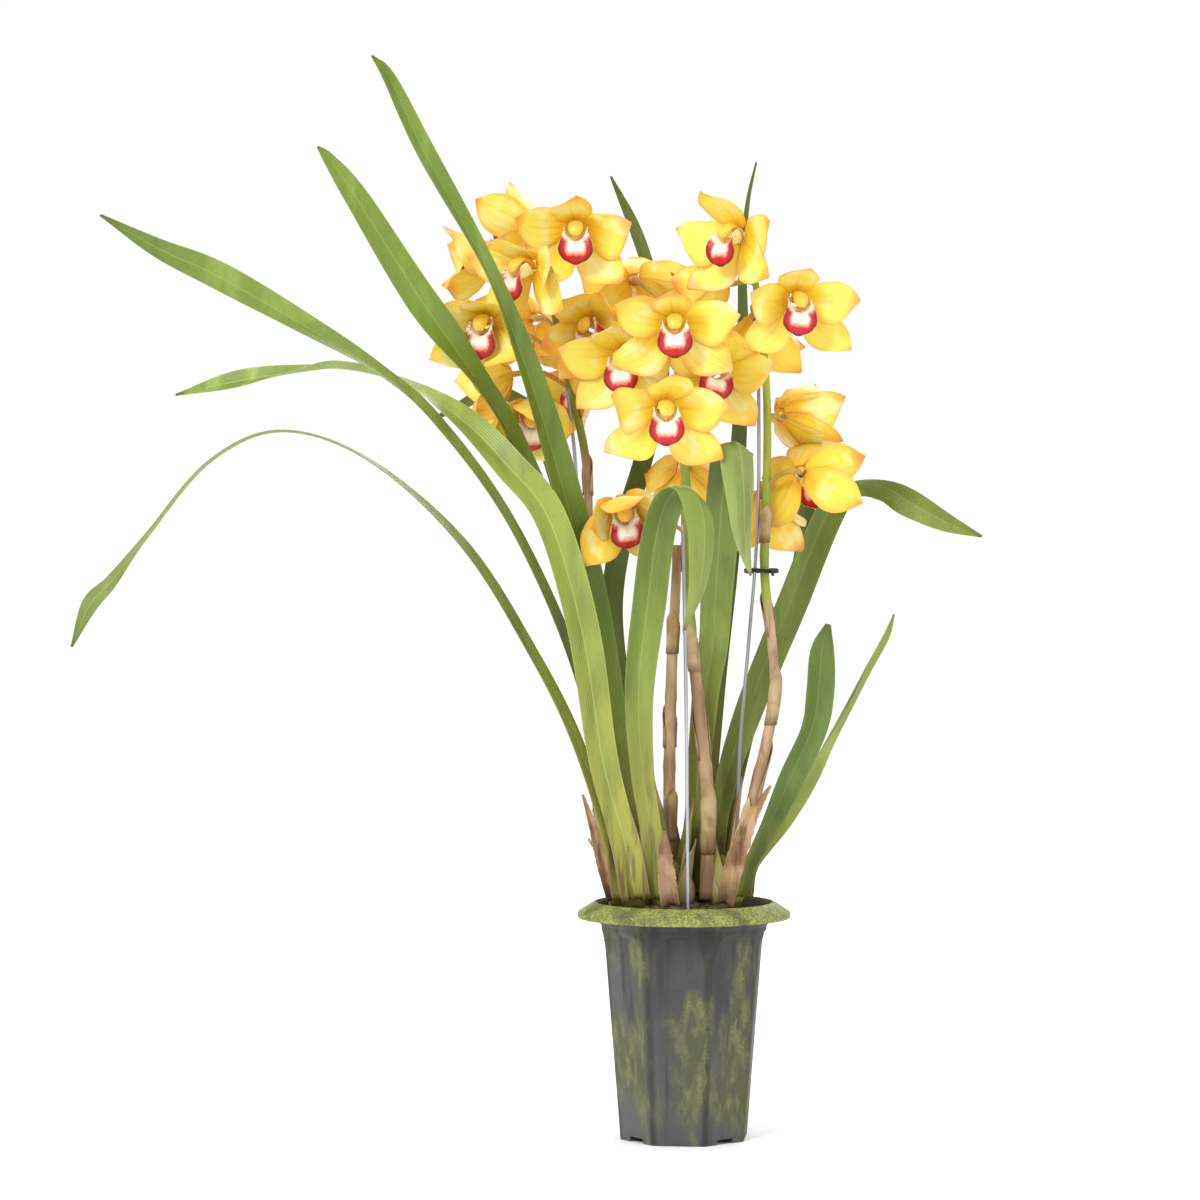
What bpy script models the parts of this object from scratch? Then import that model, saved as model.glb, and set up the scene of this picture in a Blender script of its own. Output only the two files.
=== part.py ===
"""A standard cymbidium orchid with three flower spikes, growing in its tall nursery pot.

Metres, +Z up. The origin is the middle of the pot's underside, and the plant's best side faces -Y.
Places along leaves, stems and flowers are listed in centimetres, as they would be measured on a bench.
"""
import math

import bmesh
import bpy
from mathutils import Matrix, Vector

CM = 0.01
GAP = 0.0003

# The pot: a tapered shell with eight flat panels, a wide sloping rim and four drain slots.
POT_HEIGHT = 0.200
POT_TURN = math.radians(-6)
WALL = 0.0016
FLOOR = 0.0026
BASE_RADIUS = 0.0567
SHOULDER_RADIUS = 0.0706
SHOULDER_HEIGHT = 0.184
PANELS = 8
PANEL_TOP = 0.175
PANEL_HALF_WIDTH = 0.0228
PANEL_CORNER = 0.017
BASE_APOTHEM = BASE_RADIUS * math.cos(math.pi / PANELS)
TOP_APOTHEM = 0.0662
MOUTH_RADIUS = 0.075
RIM_RADIUS = 0.0905
POT_STEPS = 48
SLOTS = 4
SLOT_WIDTH = 0.0175
SLOT_HEIGHT = 0.0045
SLOT_DEPTH = 0.012

# The potting mix fills the pot to just under its mouth, and rises a little round the plant.
MIX_EDGE = 0.186
MIX_CROWN = 0.197

# Leaves and petals are thin plates.
LEAF_THICKNESS = 0.0013
LEAF_STATIONS = 12
SHEATH_THICKNESS = 0.0010
SHEATH_STATIONS = 5
FINE_STATIONS = 60
TEPAL_THICKNESS = 0.0011
WIRE_RADIUS = 0.0015

# Bulbs: (x, y, bottom) in cm, with half widths across and in depth, and height.
BULBS = {
    "pseudobulb_left": ((-4.4, 0.3, 18.9), 1.10, 0.75, 4.4),
    "pseudobulb_center": ((-0.9, -0.3, 18.9), 1.05, 0.85, 4.6),
    "pseudobulb_back": ((0.4, 3.4, 18.7), 1.20, 1.00, 4.2),
    "pseudobulb_right": ((3.3, 1.0, 18.9), 0.95, 0.85, 5.0),
    "pseudobulb_old": ((-3.2, 3.9, 18.6), 1.30, 1.10, 4.0),
}

# Leaves: (x, y, z, width) in cm and the turn of the blade about its midrib in degrees, from base to tip.
# A turn of 0 shows the blade's face to the front, and 90 shows its edge.
LEAVES = {
    "leaf_tall_left": [
        (-3.4, -1.4, 20.4, 1.7, 10), (-4.0, -1.3, 25.0, 2.1, 15), (-5.9, -1.5, 34.2, 2.6, 20),
        (-8.0, -2.3, 46.4, 2.9, 28), (-11.0, -6.6, 58.0, 2.8, 42), (-13.6, -9.6, 66.1, 2.5, 50),
        (-16.4, -10.6, 72.9, 2.1, 62), (-21.4, -11.2, 82.1, 1.8, 35), (-24.3, -11.5, 88.1, 1.1, 20),
        (-25.7, -12.0, 89.9, 0.2, 10),
    ],
    "leaf_long_left": [
        (-4.9, -0.7, 20.4, 1.4, 10), (-5.6, -0.4, 26.0, 1.9, 15), (-7.4, -0.5, 37.1, 2.2, 30),
        (-10.5, -1.4, 49.0, 2.5, 35), (-14.3, -3.0, 58.9, 2.6, 60), (-17.4, -6.6, 64.1, 2.7, 62),
        (-22.0, -9.2, 70.5, 2.6, 10), (-27.0, -11.0, 78.4, 2.0, 15), (-29.2, -11.6, 81.5, 1.0, 10),
        (-30.1, -12.0, 82.5, 0.2, 0),
    ],
    "leaf_lance_left": [
        (-5.0, -1.5, 20.4, 1.0, 10), (-5.9, -1.1, 26.0, 1.4, 20), (-8.9, -2.4, 39.1, 2.0, 60),
        (-14.4, -7.6, 51.7, 2.2, 78), (-20.5, -12.5, 60.2, 2.4, 80), (-25.1, -14.0, 64.2, 2.5, 82),
        (-30.9, -15.5, 67.7, 2.6, 58), (-37.7, -17.0, 71.5, 2.5, 15), (-42.2, -18.5, 73.5, 1.6, 20),
        (-46.6, -20.0, 76.0, 0.2, 25),
    ],
    "leaf_broad_left": [
        (-4.1, -2.2, 20.4, 1.7, 0), (-5.0, -2.5, 25.0, 2.1, 5), (-6.9, -3.4, 32.2, 2.5, 10),
        (-8.6, -5.4, 43.1, 2.9, 20), (-11.3, -6.7, 52.3, 2.9, 25), (-14.7, -6.3, 56.7, 2.8, 25),
        (-18.8, -4.2, 60.9, 2.6, 40), (-23.9, 0.0, 64.2, 2.4, 73), (-29.0, 2.0, 65.6, 2.2, 82),
        (-32.9, 3.0, 65.4, 2.1, 55), (-38.6, 4.0, 64.5, 1.9, 15), (-43.8, 4.5, 63.3, 0.2, 10),
    ],
    "leaf_thin_left": [
        (-5.5, -2.2, 20.4, 0.9, 20), (-6.3, -2.3, 25.0, 1.2, 35), (-9.0, -2.8, 33.5, 1.4, 45),
        (-12.6, -2.8, 40.8, 1.5, 65), (-18.5, -4.6, 50.2, 1.6, 78), (-26.3, -7.0, 57.2, 1.6, 86),
        (-33.3, -9.0, 59.5, 1.6, 87), (-39.0, -11.0, 56.9, 1.6, 87), (-44.0, -12.0, 50.8, 1.6, 84),
        (-46.8, -12.5, 47.1, 1.6, 60), (-48.5, -13.0, 45.2, 1.4, 20), (-49.9, -13.5, 41.8, 0.2, 0),
    ],
    "leaf_back_left": [
        (-4.6, 1.8, 20.4, 1.4, 0), (-4.9, 2.6, 26.0, 1.7, 0), (-6.6, 5.0, 37.8, 1.9, 10),
        (-9.6, 8.0, 51.7, 2.0, 20), (-12.4, 9.6, 60.5, 1.9, 30), (-15.0, 9.8, 63.4, 1.6, 35),
        (-17.4, 9.4, 63.6, 1.3, 40), (-19.3, 8.8, 62.6, 1.0, 30), (-21.8, 8.2, 61.4, 0.2, 20),
    ],
    "leaf_center_back": [
        (-3.2, 1.5, 20.4, 1.4, 0), (-3.6, 2.0, 26.0, 1.8, 0), (-5.4, 4.0, 36.2, 2.2, 5),
        (-6.2, 6.0, 44.7, 2.1, 20), (-5.2, 7.6, 51.7, 2.0, 30), (-3.7, 8.6, 57.0, 1.9, 35),
        (-2.1, 9.6, 63.1, 1.8, 40), (-1.8, 10.0, 68.4, 1.7, 45), (-2.2, 9.9, 72.1, 1.5, 50),
        (-4.0, 9.4, 77.9, 1.2, 30), (-6.2, 8.4, 82.7, 0.2, 10),
    ],
    "leaf_needle_back": [
        (1.6, 5.2, 20.2, 1.3, 0), (1.9, 5.9, 27.0, 1.7, 0), (2.8, 7.4, 38.0, 2.0, 20),
        (4.1, 9.2, 49.1, 2.0, 30), (5.0, 11.0, 59.7, 1.8, 40), (5.4, 12.0, 68.8, 1.5, 45),
        (5.4, 12.0, 75.7, 1.1, 50), (5.9, 12.0, 80.8, 0.6, 50), (6.7, 12.0, 84.4, 0.2, 40),
    ],
    "leaf_folded_center": [
        (-2.5, -2.2, 20.4, 1.4, 0), (-2.7, -2.4, 25.0, 1.7, 0), (-3.6, -3.1, 31.3, 2.0, 5),
        (-3.9, -4.6, 38.1, 2.5, 10), (-3.1, -6.0, 45.6, 2.9, 15), (-2.4, -6.9, 51.0, 2.9, 15),
        (-1.4, -7.9, 54.0, 2.8, 12), (0.1, -9.2, 54.6, 2.7, 10), (1.2, -10.2, 52.0, 2.6, 10),
        (1.0, -10.2, 47.2, 1.8, 10), (-0.2, -9.6, 43.1, 0.2, 10),
    ],
    "leaf_folded_right": [
        (0.6, 1.3, 20.4, 1.3, 0), (0.8, 1.3, 25.0, 1.6, 0), (1.2, 1.3, 30.5, 1.9, 5),
        (1.9, 1.3, 38.0, 2.3, 5), (2.5, 0.8, 41.8, 2.5, 8), (2.7, -1.5, 46.5, 2.8, 12),
        (3.1, -4.2, 53.1, 3.2, 18), (3.7, -6.1, 57.6, 3.5, 15), (4.2, -7.4, 58.1, 3.5, 10),
        (4.5, -8.4, 55.0, 3.1, 10), (4.7, -8.5, 50.9, 1.8, 10), (5.3, -8.2, 47.6, 0.2, 10),
    ],
    "leaf_strap_right": [
        (2.3, 2.6, 20.4, 1.4, 0), (2.7, 3.0, 25.0, 1.6, 5), (3.7, 3.8, 30.1, 1.9, 10),
        (5.4, 4.8, 35.3, 2.4, 15), (7.4, 5.6, 40.4, 2.7, 20), (9.6, 6.4, 45.6, 2.9, 20),
        (12.7, 7.4, 53.0, 2.8, 25), (14.8, 7.6, 55.4, 2.7, 62), (17.6, 7.0, 55.3, 2.6, 45),
        (19.9, 6.4, 54.0, 2.5, 12), (22.8, 5.7, 52.4, 1.7, 10), (25.9, 5.0, 51.1, 0.2, 10),
    ],
    "leaf_short_right": [
        (4.9, -0.4, 20.4, 0.9, 20), (5.5, -0.6, 23.0, 1.2, 20), (7.4, -1.4, 27.0, 1.8, 20),
        (9.0, -3.4, 30.9, 2.3, 18), (10.7, -4.2, 34.9, 2.5, 25), (11.2, -4.6, 38.1, 2.5, 20),
        (11.4, -4.9, 41.4, 2.0, 10), (11.9, -5.0, 43.6, 0.5, 10),
    ],
    "leaf_blade_right": [
        (5.2, 0.9, 20.4, 0.9, 10), (5.8, 1.0, 23.0, 1.2, 15), (8.3, 1.0, 26.8, 1.9, 20),
        (10.8, 0.6, 30.8, 2.1, 50), (12.4, 0.3, 33.7, 2.0, 68), (13.9, 0.0, 36.5, 1.9, 76),
        (15.6, -0.2, 39.8, 1.6, 70), (17.1, -0.4, 42.6, 1.0, 55), (17.8, -0.5, 44.4, 0.2, 50),
    ],
    "leaf_hanging_right": [
        (3.4, 4.4, 20.2, 1.3, 0), (3.7, 5.0, 26.0, 1.5, 0), (6.0, 7.0, 36.3, 1.8, 15),
        (8.4, 8.8, 42.1, 1.9, 20), (10.2, 10.4, 46.9, 2.0, 25), (11.0, 11.4, 51.8, 1.9, 25),
        (10.6, 11.2, 56.2, 1.8, 20), (9.9, 9.8, 57.9, 1.7, 15), (9.3, 8.4, 56.6, 1.6, 10),
        (9.0, 8.2, 54.4, 1.3, 10), (9.5, 8.2, 51.1, 0.2, 10),
    ],
}

# Dry sheaths at the feet of the fans, listed as the leaves are.
SHEATHS = {
    "dry_sheath_left": [
        (-6.1, -1.6, 20.2, 0.9, 0), (-6.9, -1.8, 23.5, 1.2, 10), (-7.8, -2.0, 26.6, 0.7, 20),
        (-8.6, -2.1, 29.2, 0.2, 20),
    ],
    "dry_sheath_center": [
        (-1.2, -3.0, 19.9, 1.6, 0), (-1.5, -3.2, 22.0, 1.5, 0), (-1.7, -3.4, 24.4, 1.1, 5),
        (-1.8, -3.6, 26.2, 0.3, 10),
    ],
    "dry_sheath_right": [
        (3.3, -3.2, 20.0, 1.5, 0), (4.3, -3.6, 24.0, 1.6, 0), (5.6, -3.6, 27.4, 1.0, 0),
        (7.2, -3.1, 30.0, 0.2, 0),
    ],
}

# Stems, base to top, in cm, each with its radius in cm at the base and at the top.
STEMS = {
    "flower_spike_left": (
        [(-6.1, 1.9, 20.2), (-7.0, 1.8, 26.0), (-8.0, 1.2, 36.0), (-8.1, 0.8, 46.0), (-8.3, 0.6, 57.0),
         (-9.9, 0.8, 64.5), (-11.2, 0.8, 71.0), (-12.0, 0.6, 75.5)],
        0.50, 0.26,
    ),
    "flower_spike_center": (
        [(1.9, -0.1, 20.2), (2.0, -0.2, 28.6), (1.4, 0.0, 35.4), (0.5, 0.2, 43.9), (0.2, 0.6, 51.0),
         (0.1, 0.8, 57.5), (-0.5, 0.8, 65.0), (-1.2, 0.8, 70.5)],
        0.62, 0.28,
    ),
    "flower_spike_right": (
        [(3.2, -2.2, 20.4), (4.4, -2.5, 24.6), (5.6, -2.4, 28.0), (6.8, -1.5, 33.0), (7.7, -0.2, 37.5),
         (7.5, 0.8, 42.2), (6.9, 1.2, 48.2), (7.1, 1.2, 55.8), (7.1, 1.0, 62.6), (6.6, 0.8, 69.0),
         (5.9, 0.6, 74.0)],
        0.55, 0.28,
    ),
    "old_flower_stem": (
        [(-1.2, 1.5, 20.2), (-1.2, 1.5, 26.0), (-1.2, 1.5, 32.0), (-1.0, 1.7, 40.0), (-0.7, 1.9, 45.6),
         (-0.5, 2.0, 50.3)],
        0.58, 0.40,
    ),
}

# Flowers: spike, middle of the flower in cm, then where it faces: yaw (0 to the front, + to the right),
# pitch (+ upwards) and roll (+ clockwise as one looks into it) in degrees, and its form.
FLOWERS = {
    "flower_left_1": ("flower_spike_left", (-9.2, -1.0, 77.0), 0, -8, 0, "open"),
    "flower_left_2": ("flower_spike_left", (-12.8, -4.5, 73.5), -45, -5, 0, "open"),
    "flower_left_3": ("flower_spike_left", (-16.6, -3.5, 68.9), -15, -10, 0, "cupped"),
    "flower_left_4": ("flower_spike_left", (-13.0, 5.0, 77.4), -130, 35, 0, "open"),
    "flower_left_5": ("flower_spike_left", (-16.0, 0.5, 74.4), -85, 10, 0, "cupped"),
    "flower_left_6": ("flower_spike_left", (-13.1, 1.0, 62.2), 5, -40, 0, "cupped"),
    "flower_left_7": ("flower_spike_left", (-14.7, 2.0, 64.9), -85, -10, 0, "cupped"),
    "flower_left_8": ("flower_spike_left", (-12.7, 5.0, 69.9), -160, 0, 0, "open"),
    "flower_center_1": ("flower_spike_center", (-1.0, -7.2, 68.5), 0, -4, 0, "open"),
    "flower_center_2": ("flower_spike_center", (-5.1, -3.2, 66.0), -10, -8, -5, "open"),
    "flower_center_3": ("flower_spike_center", (2.5, -1.5, 64.8), 8, 6, 12, "open"),
    "flower_center_4": ("flower_spike_center", (-1.9, -8.5, 61.4), 5, -8, 0, "open"),
    "flower_center_5": ("flower_spike_center", (-7.7, 0.2, 68.9), -20, -5, -35, "cupped"),
    "flower_center_6": ("flower_spike_center", (-4.2, 3.5, 73.1), 180, 0, 0, "open"),
    "flower_center_7": ("flower_spike_center", (-5.4, -3.0, 53.6), 10, -25, -10, "cupped"),
    "flower_center_8": ("flower_spike_center", (-7.8, 4.0, 64.5), -60, -10, -10, "cupped"),
    "flower_center_9": ("flower_spike_center", (0.1, 3.5, 57.1), 170, -20, 0, "cupped"),
    "flower_right_1": ("flower_spike_right", (4.6, -4.0, 76.2), -40, 0, 0, "open"),
    "flower_right_2": ("flower_spike_right", (9.3, -2.0, 70.9), 10, -8, 5, "open"),
    "flower_right_3": ("flower_spike_right", (3.8, 2.0, 72.6), -100, -10, 0, "cupped"),
    "flower_right_4": ("flower_spike_right", (6.2, 3.5, 69.9), 165, -40, 0, "cupped"),
    "flower_right_5": ("flower_spike_right", (8.3, 2.5, 61.5), 130, 10, 0, "cupped"),
    "flower_right_6": ("flower_spike_right", (9.9, 0.5, 56.5), 155, -5, 10, "open"),
    "flower_right_7": ("flower_spike_right", (6.8, 4.0, 54.7), 170, -45, 0, "cupped"),
}

# A flower's parts, in cm. Each petal or sepal: angle round the flower, length and width, and for each form
# how far it leans out of the flower's plane at its foot and at its tip, all angles in degrees.
HUB_RADIUS = 0.6
TEPALS = {
    "upper_sepal": (0, 5.2, 2.8, {"open": (48, 84), "cupped": (55, 88)}),
    "petal": (74, 5.4, 2.9, {"open": (24, 44), "cupped": (42, 70)}),
    "lower_sepal": (130, 5.8, 2.9, {"open": (8, 18), "cupped": (32, 54)}),
}
FORMS = ("open", "cupped")
TEPAL_STATIONS = ((0, (-1, 0, 1)), (0.35, (-1, 0, 1)), (0.74, (-1, 0, 1)), (1, (0,)))
# The lip's rows from the hub out, in cm: how far forward, half width, height, and how far its edges rise.
LIP_ROWS = ((0.0, 0.20, -0.60, 0.0), (1.3, 0.85, -1.15, 0.7), (2.5, 1.40, -1.60, 0.35), (3.0, 0.90, -2.80, 0.1))
COLUMN = ((0.0, -0.4), (0.1, 1.4), (-0.4, 2.5))
COLUMN_RADII = (0.0040, 0.0042, 0.0050)

# Support wires, from the mix up, in cm.
WIRES = {
    "support_wire_left": [
        (-5.4, 0.3, 12.0), (-6.7, 0.3, 24.0), (-8.7, -0.4, 45.0), (-9.2, -0.4, 56.7), (-9.9, -0.4, 63.5),
    ],
    "support_wire_center": [(0.3, -3.4, 12.0), (0.1, -3.6, 36.0), (-0.2, -3.4, 52.0)],
    "support_wire_right": [
        (4.7, 1.6, 12.0), (4.7, 1.9, 30.0), (5.6, 2.2, 42.0), (6.1, 1.9, 48.0), (6.4, 1.4, 55.0),
        (6.4, 1.2, 64.5),
    ],
}

# Twist ties: middle of the ring in cm, then its half widths across and in depth.
TIES = {
    "twist_tie_right": ((6.65, 1.6, 48.1), 1.45, 1.25),
    "twist_tie_left": ((-8.6, 0.1, 52.0), 1.35, 1.35),
}
TIE_BAND = 0.0035
TIE_THICKNESS = 0.0012

COLOURS = {
    "pot": (0.055, 0.055, 0.060, 1),
    "mix": (0.080, 0.055, 0.035, 1),
    "bulb": (0.25, 0.30, 0.08, 1),
    "leaf": (0.23, 0.36, 0.07, 1),
    "sheath": (0.42, 0.26, 0.13, 1),
    "stem": (0.26, 0.31, 0.05, 1),
    "dry": (0.30, 0.18, 0.09, 1),
    "flower": (0.90, 0.58, 0.08, 1),
    "wire": (0.45, 0.47, 0.50, 1),
    "tie": (0.01, 0.01, 0.01, 1),
}


def material(name, roughness=0.5, metallic=0.0):
    """The Principled BSDF material of a kind of sub-part, made once."""
    found = bpy.data.materials.get(name)
    if found:
        return found
    made = bpy.data.materials.new(name)
    made.use_nodes = True
    shader = made.node_tree.nodes["Principled BSDF"]
    shader.inputs["Base Color"].default_value = COLOURS[name]
    shader.inputs["Roughness"].default_value = roughness
    shader.inputs["Metallic"].default_value = metallic
    return made


def add_object(name, mesh, look, home):
    """One named object with its material, in the collection given."""
    made = bpy.data.objects.new(name, mesh)
    if look and not mesh.materials:
        mesh.materials.append(look)
    home.objects.link(made)
    return made


def mesh_from(bm, name):
    """The finished mesh of a bmesh, which is freed."""
    bmesh.ops.recalc_face_normals(bm, faces=bm.faces)
    mesh = bpy.data.meshes.new(name)
    bm.to_mesh(mesh)
    bm.free()
    return mesh


def baked(thing, name):
    """The object's evaluated mesh, welded where a curve's caps are loose."""
    bpy.context.view_layer.update()
    graph = bpy.context.evaluated_depsgraph_get()
    mesh = bpy.data.meshes.new_from_object(thing.evaluated_get(graph))
    bm = bmesh.new()
    bm.from_mesh(mesh)
    bmesh.ops.remove_doubles(bm, verts=bm.verts, dist=0.00002)
    bpy.data.meshes.remove(mesh)
    return mesh_from(bm, name)


def boolean(thing, cutter, operation):
    """Cut or join another object, with the exact solver."""
    step = thing.modifiers.new(operation.lower(), "BOOLEAN")
    step.operation = operation
    step.solver = "EXACT"
    step.object = cutter


def as_cutter(thing):
    """Mark an object as a tool that isn't part of the plant."""
    thing.hide_render = True
    thing.display_type = "WIRE"
    return thing


def smooth(mesh, angle=35):
    """Smooth shading with sharp edges kept."""
    mesh.shade_smooth()
    mesh.set_sharp_from_angle(angle=math.radians(angle))


def turned(name, profile, look, home, steps=POT_STEPS):
    """A solid of revolution: the profile's (radius, height) points swept about Z."""
    mesh = bpy.data.meshes.new(name)
    edges = [(i, i + 1) for i in range(len(profile) - 1)]
    mesh.from_pydata([(r, 0, z) for r, z in profile], edges, [])
    made = add_object(name, mesh, look, home)
    screw = made.modifiers.new("turn", "SCREW")
    screw.steps = steps
    screw.render_steps = steps
    screw.use_merge_vertices = True
    screw.merge_threshold = 0.00005
    screw.use_smooth_shade = True
    return made


def smooth_path(points, count):
    """Points evenly spread in parameter along a Catmull-Rom curve through rows of numbers."""
    rows = [Vector(p) for p in points]
    rows = [rows[0] * 2 - rows[1]] + rows + [rows[-1] * 2 - rows[-2]]
    spans = len(rows) - 3
    path = []
    for i in range(count):
        s = spans * i / (count - 1)
        k = min(int(s), spans - 1)
        t = s - k
        a, b, c, d = rows[k:k + 4]
        square = (2 * a - 5 * b + 4 * c - d) * t ** 2
        cube = (3 * b - a - 3 * c + d) * t ** 3
        path.append((2 * b + (c - a) * t + square + cube) / 2)
    return path


def carried_frames(path):
    """Tangents, and face directions carried along the path without spinning about it."""
    last = len(path) - 1
    tangents = [(path[min(i + 1, last)] - path[max(i - 1, 0)]).normalized() for i in range(last + 1)]
    face = Vector((0, -1, 0))
    faces = []
    for i, tangent in enumerate(tangents):
        if i:
            face = tangents[i - 1].rotation_difference(tangent) @ face
        face = (face - tangent * face.dot(tangent)).normalized()
        faces.append(face)
    return tangents, faces


def strap(name, rows, thickness, stations, look, home, keel=0.22):
    """A leaf: a keeled strip along its midrib, thickened to a plate. Rows are (x, y, z, width, turn)."""
    sampled = smooth_path(rows, FINE_STATIONS + 1)
    path = [Vector(row[:3]) * CM for row in sampled]
    tangents, faces = carried_frames(path)
    bm = bmesh.new()
    strip = []
    for station in range(stations + 1):
        i = round(station * FINE_STATIONS / stations)
        half = max(sampled[i][3], 0.16) * CM / 2
        turn = Matrix.Rotation(math.radians(sampled[i][4]), 3, tangents[i])
        face = turn @ faces[i]
        across = tangents[i].cross(face)
        middle = path[i] - face * half * keel
        edge = path[i] + face * half * keel
        strip.append([bm.verts.new(p) for p in (edge - across * half, middle, edge + across * half)])
    for low, high in zip(strip, strip[1:]):
        for k in range(2):
            bm.faces.new((low[k], low[k + 1], high[k + 1], high[k]))
    made = add_object(name, mesh_from(bm, name), look, home)
    plate = made.modifiers.new("plate", "SOLIDIFY")
    plate.thickness = thickness
    plate.offset = 0
    return made


def tube(name, points, radii, sides, home):
    """A tapering round stem along the points, as a curve object with filled caps."""
    curve = bpy.data.curves.new(name, "CURVE")
    curve.dimensions = "3D"
    curve.bevel_depth = 1.0
    curve.bevel_resolution = sides // 2 - 2
    curve.use_fill_caps = True
    curve.resolution_u = 1
    curve.render_resolution_u = 0
    spline = curve.splines.new("POLY")
    spline.points.add(len(points) - 1)
    for target, place, radius in zip(spline.points, points, radii):
        target.co = (*place, 1)
        target.radius = radius
    made = bpy.data.objects.new(name, curve)
    home.objects.link(made)
    return made


def solid_tube(name, points, radii, sides, look, home):
    """The same stem as a welded mesh, ready to be joined or cut."""
    curve = tube(name + "_curve", points, radii, sides, home)
    mesh = baked(curve, name)
    bpy.data.objects.remove(curve)
    mesh.materials.clear()
    smooth(mesh)
    return add_object(name, mesh, look, home)


def panel_cutters(inset, home):
    """Blocks with round upper corners whose inner faces press the eight flat panels."""
    slope = math.atan2(TOP_APOTHEM - BASE_APOTHEM, PANEL_TOP)
    half = PANEL_HALF_WIDTH + inset
    top = PANEL_TOP + inset
    bottom = -0.010
    depth = 0.030
    bm = bmesh.new()
    bmesh.ops.create_cube(bm, size=1)
    bmesh.ops.scale(bm, vec=(2 * half, depth, top - bottom), verts=bm.verts)
    bmesh.ops.translate(bm, vec=(0, -depth / 2, (top + bottom) / 2), verts=bm.verts)
    corners = [e for e in bm.edges if all(v.co.z > top - 0.001 for v in e.verts)
               and abs(e.verts[0].co.x - e.verts[1].co.x) < 0.001]
    bmesh.ops.bevel(bm, geom=corners, offset=PANEL_CORNER, segments=5, profile=0.5, affect="EDGES")
    mesh = mesh_from(bm, "panel_cutter")
    cutters = []
    for i in range(PANELS):
        cutter = as_cutter(add_object("panel_cutter", mesh, None, home))
        turn = Matrix.Rotation(POT_TURN + i * 2 * math.pi / PANELS, 4, "Z")
        lean = Matrix.Rotation(slope, 4, "X")
        cutter.matrix_world = turn @ Matrix.Translation((0, -(BASE_APOTHEM - inset), 0)) @ lean
        cutters.append(cutter)
    return cutters


def body_radius(height, inset=0):
    """Radius of the round tapering body at a height, drawn in by the inset."""
    return BASE_RADIUS + (SHOULDER_RADIUS - BASE_RADIUS) * height / SHOULDER_HEIGHT - inset


def build_pot(home, tools):
    """The moulded pot: eight panels pressed into a turned shell, and slots through the base's corner."""
    outside = [
        (0, POT_HEIGHT),
        (MOUTH_RADIUS + 0.0014, POT_HEIGHT),
        (RIM_RADIUS - 0.0008, 0.1916),
        (RIM_RADIUS, 0.1900),
        (RIM_RADIUS - 0.0004, 0.1866),
        (RIM_RADIUS - 0.0022, 0.1866),
        (RIM_RADIUS - 0.0028, 0.1893),
        (MOUTH_RADIUS + 0.0030, 0.1962),
        (SHOULDER_RADIUS + 0.0008, 0.1812),
        (body_radius(0.1805), 0.1805),
        (BASE_RADIUS, 0),
        (0, 0),
    ]
    inside = [
        (0, POT_HEIGHT + 0.004),
        (MOUTH_RADIUS, POT_HEIGHT + 0.004),
        (MOUTH_RADIUS, POT_HEIGHT - 0.0006),
        (body_radius(0.1800, WALL), 0.1800),
        (body_radius(FLOOR, WALL), FLOOR),
        (0, FLOOR),
    ]
    pot = turned("pot", outside, material("pot", 0.55), home)
    cavity = as_cutter(turned("pot_cavity", inside, None, tools))
    for shell, inset in ((pot, 0), (cavity, WALL)):
        for cutter in panel_cutters(inset, tools):
            boolean(shell, cutter, "DIFFERENCE")
    boolean(pot, cavity, "DIFFERENCE")
    for i in range(SLOTS):
        turn = POT_TURN + math.radians(45 + 90 * i)
        reach = BASE_APOTHEM - SLOT_DEPTH / 2 + 0.003
        bm = bmesh.new()
        bmesh.ops.create_cube(bm, size=1)
        bmesh.ops.scale(bm, vec=(SLOT_WIDTH, SLOT_DEPTH + 0.006, 2 * SLOT_HEIGHT), verts=bm.verts)
        slot = as_cutter(add_object("drain_slot", mesh_from(bm, "drain_slot"), None, tools))
        slot.rotation_euler.z = turn
        slot.location = (reach * math.sin(turn), -reach * math.cos(turn), 0)
        boolean(pot, slot, "DIFFERENCE")
    return pot


def build_mix(home, sockets):
    """Bark mix, clear of the pot's walls, with a socket for each thing that stands in it."""
    look = material("mix", 0.95)
    foot = BASE_APOTHEM - WALL - 0.0009
    neck = TOP_APOTHEM - WALL - 0.0009
    profile = [
        (0, MIX_CROWN),
        (0.028, MIX_CROWN - 0.001),
        (0.047, MIX_CROWN - 0.004),
        (neck, MIX_EDGE),
        (neck, 0.176),
        (foot, FLOOR + GAP),
        (0, FLOOR + GAP),
    ]
    mix = turned("potting_mix", profile, look, home, steps=24)
    for socket in sockets:
        boolean(mix, socket, "DIFFERENCE")
    return mix


def egg(name, place, across, deep, height, grow, look, home):
    """An egg-shaped bulb standing at its place, every half size grown by the given amount."""
    bm = bmesh.new()
    bmesh.ops.create_uvsphere(bm, u_segments=12, v_segments=7, radius=1)
    half = height / 2 * CM
    for vert in bm.verts:
        narrow = 1 - 0.28 * max(vert.co.z, 0)
        vert.co.x *= (across * CM + grow) * narrow
        vert.co.y *= (deep * CM + grow) * narrow
        vert.co.z *= half + grow
    bmesh.ops.translate(bm, vec=Vector(place) * CM + Vector((0, 0, half)), verts=bm.verts)
    mesh = mesh_from(bm, name)
    smooth(mesh, 60)
    return add_object(name, mesh, look, home)


def tepal_outline(u):
    """Half width of a petal or sepal at a share u of its length, as a share of its widest half."""
    return 0.14 * (1 - u) ** 2 + max(math.sin(math.pi * u ** 1.15), 0) ** 0.75


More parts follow.
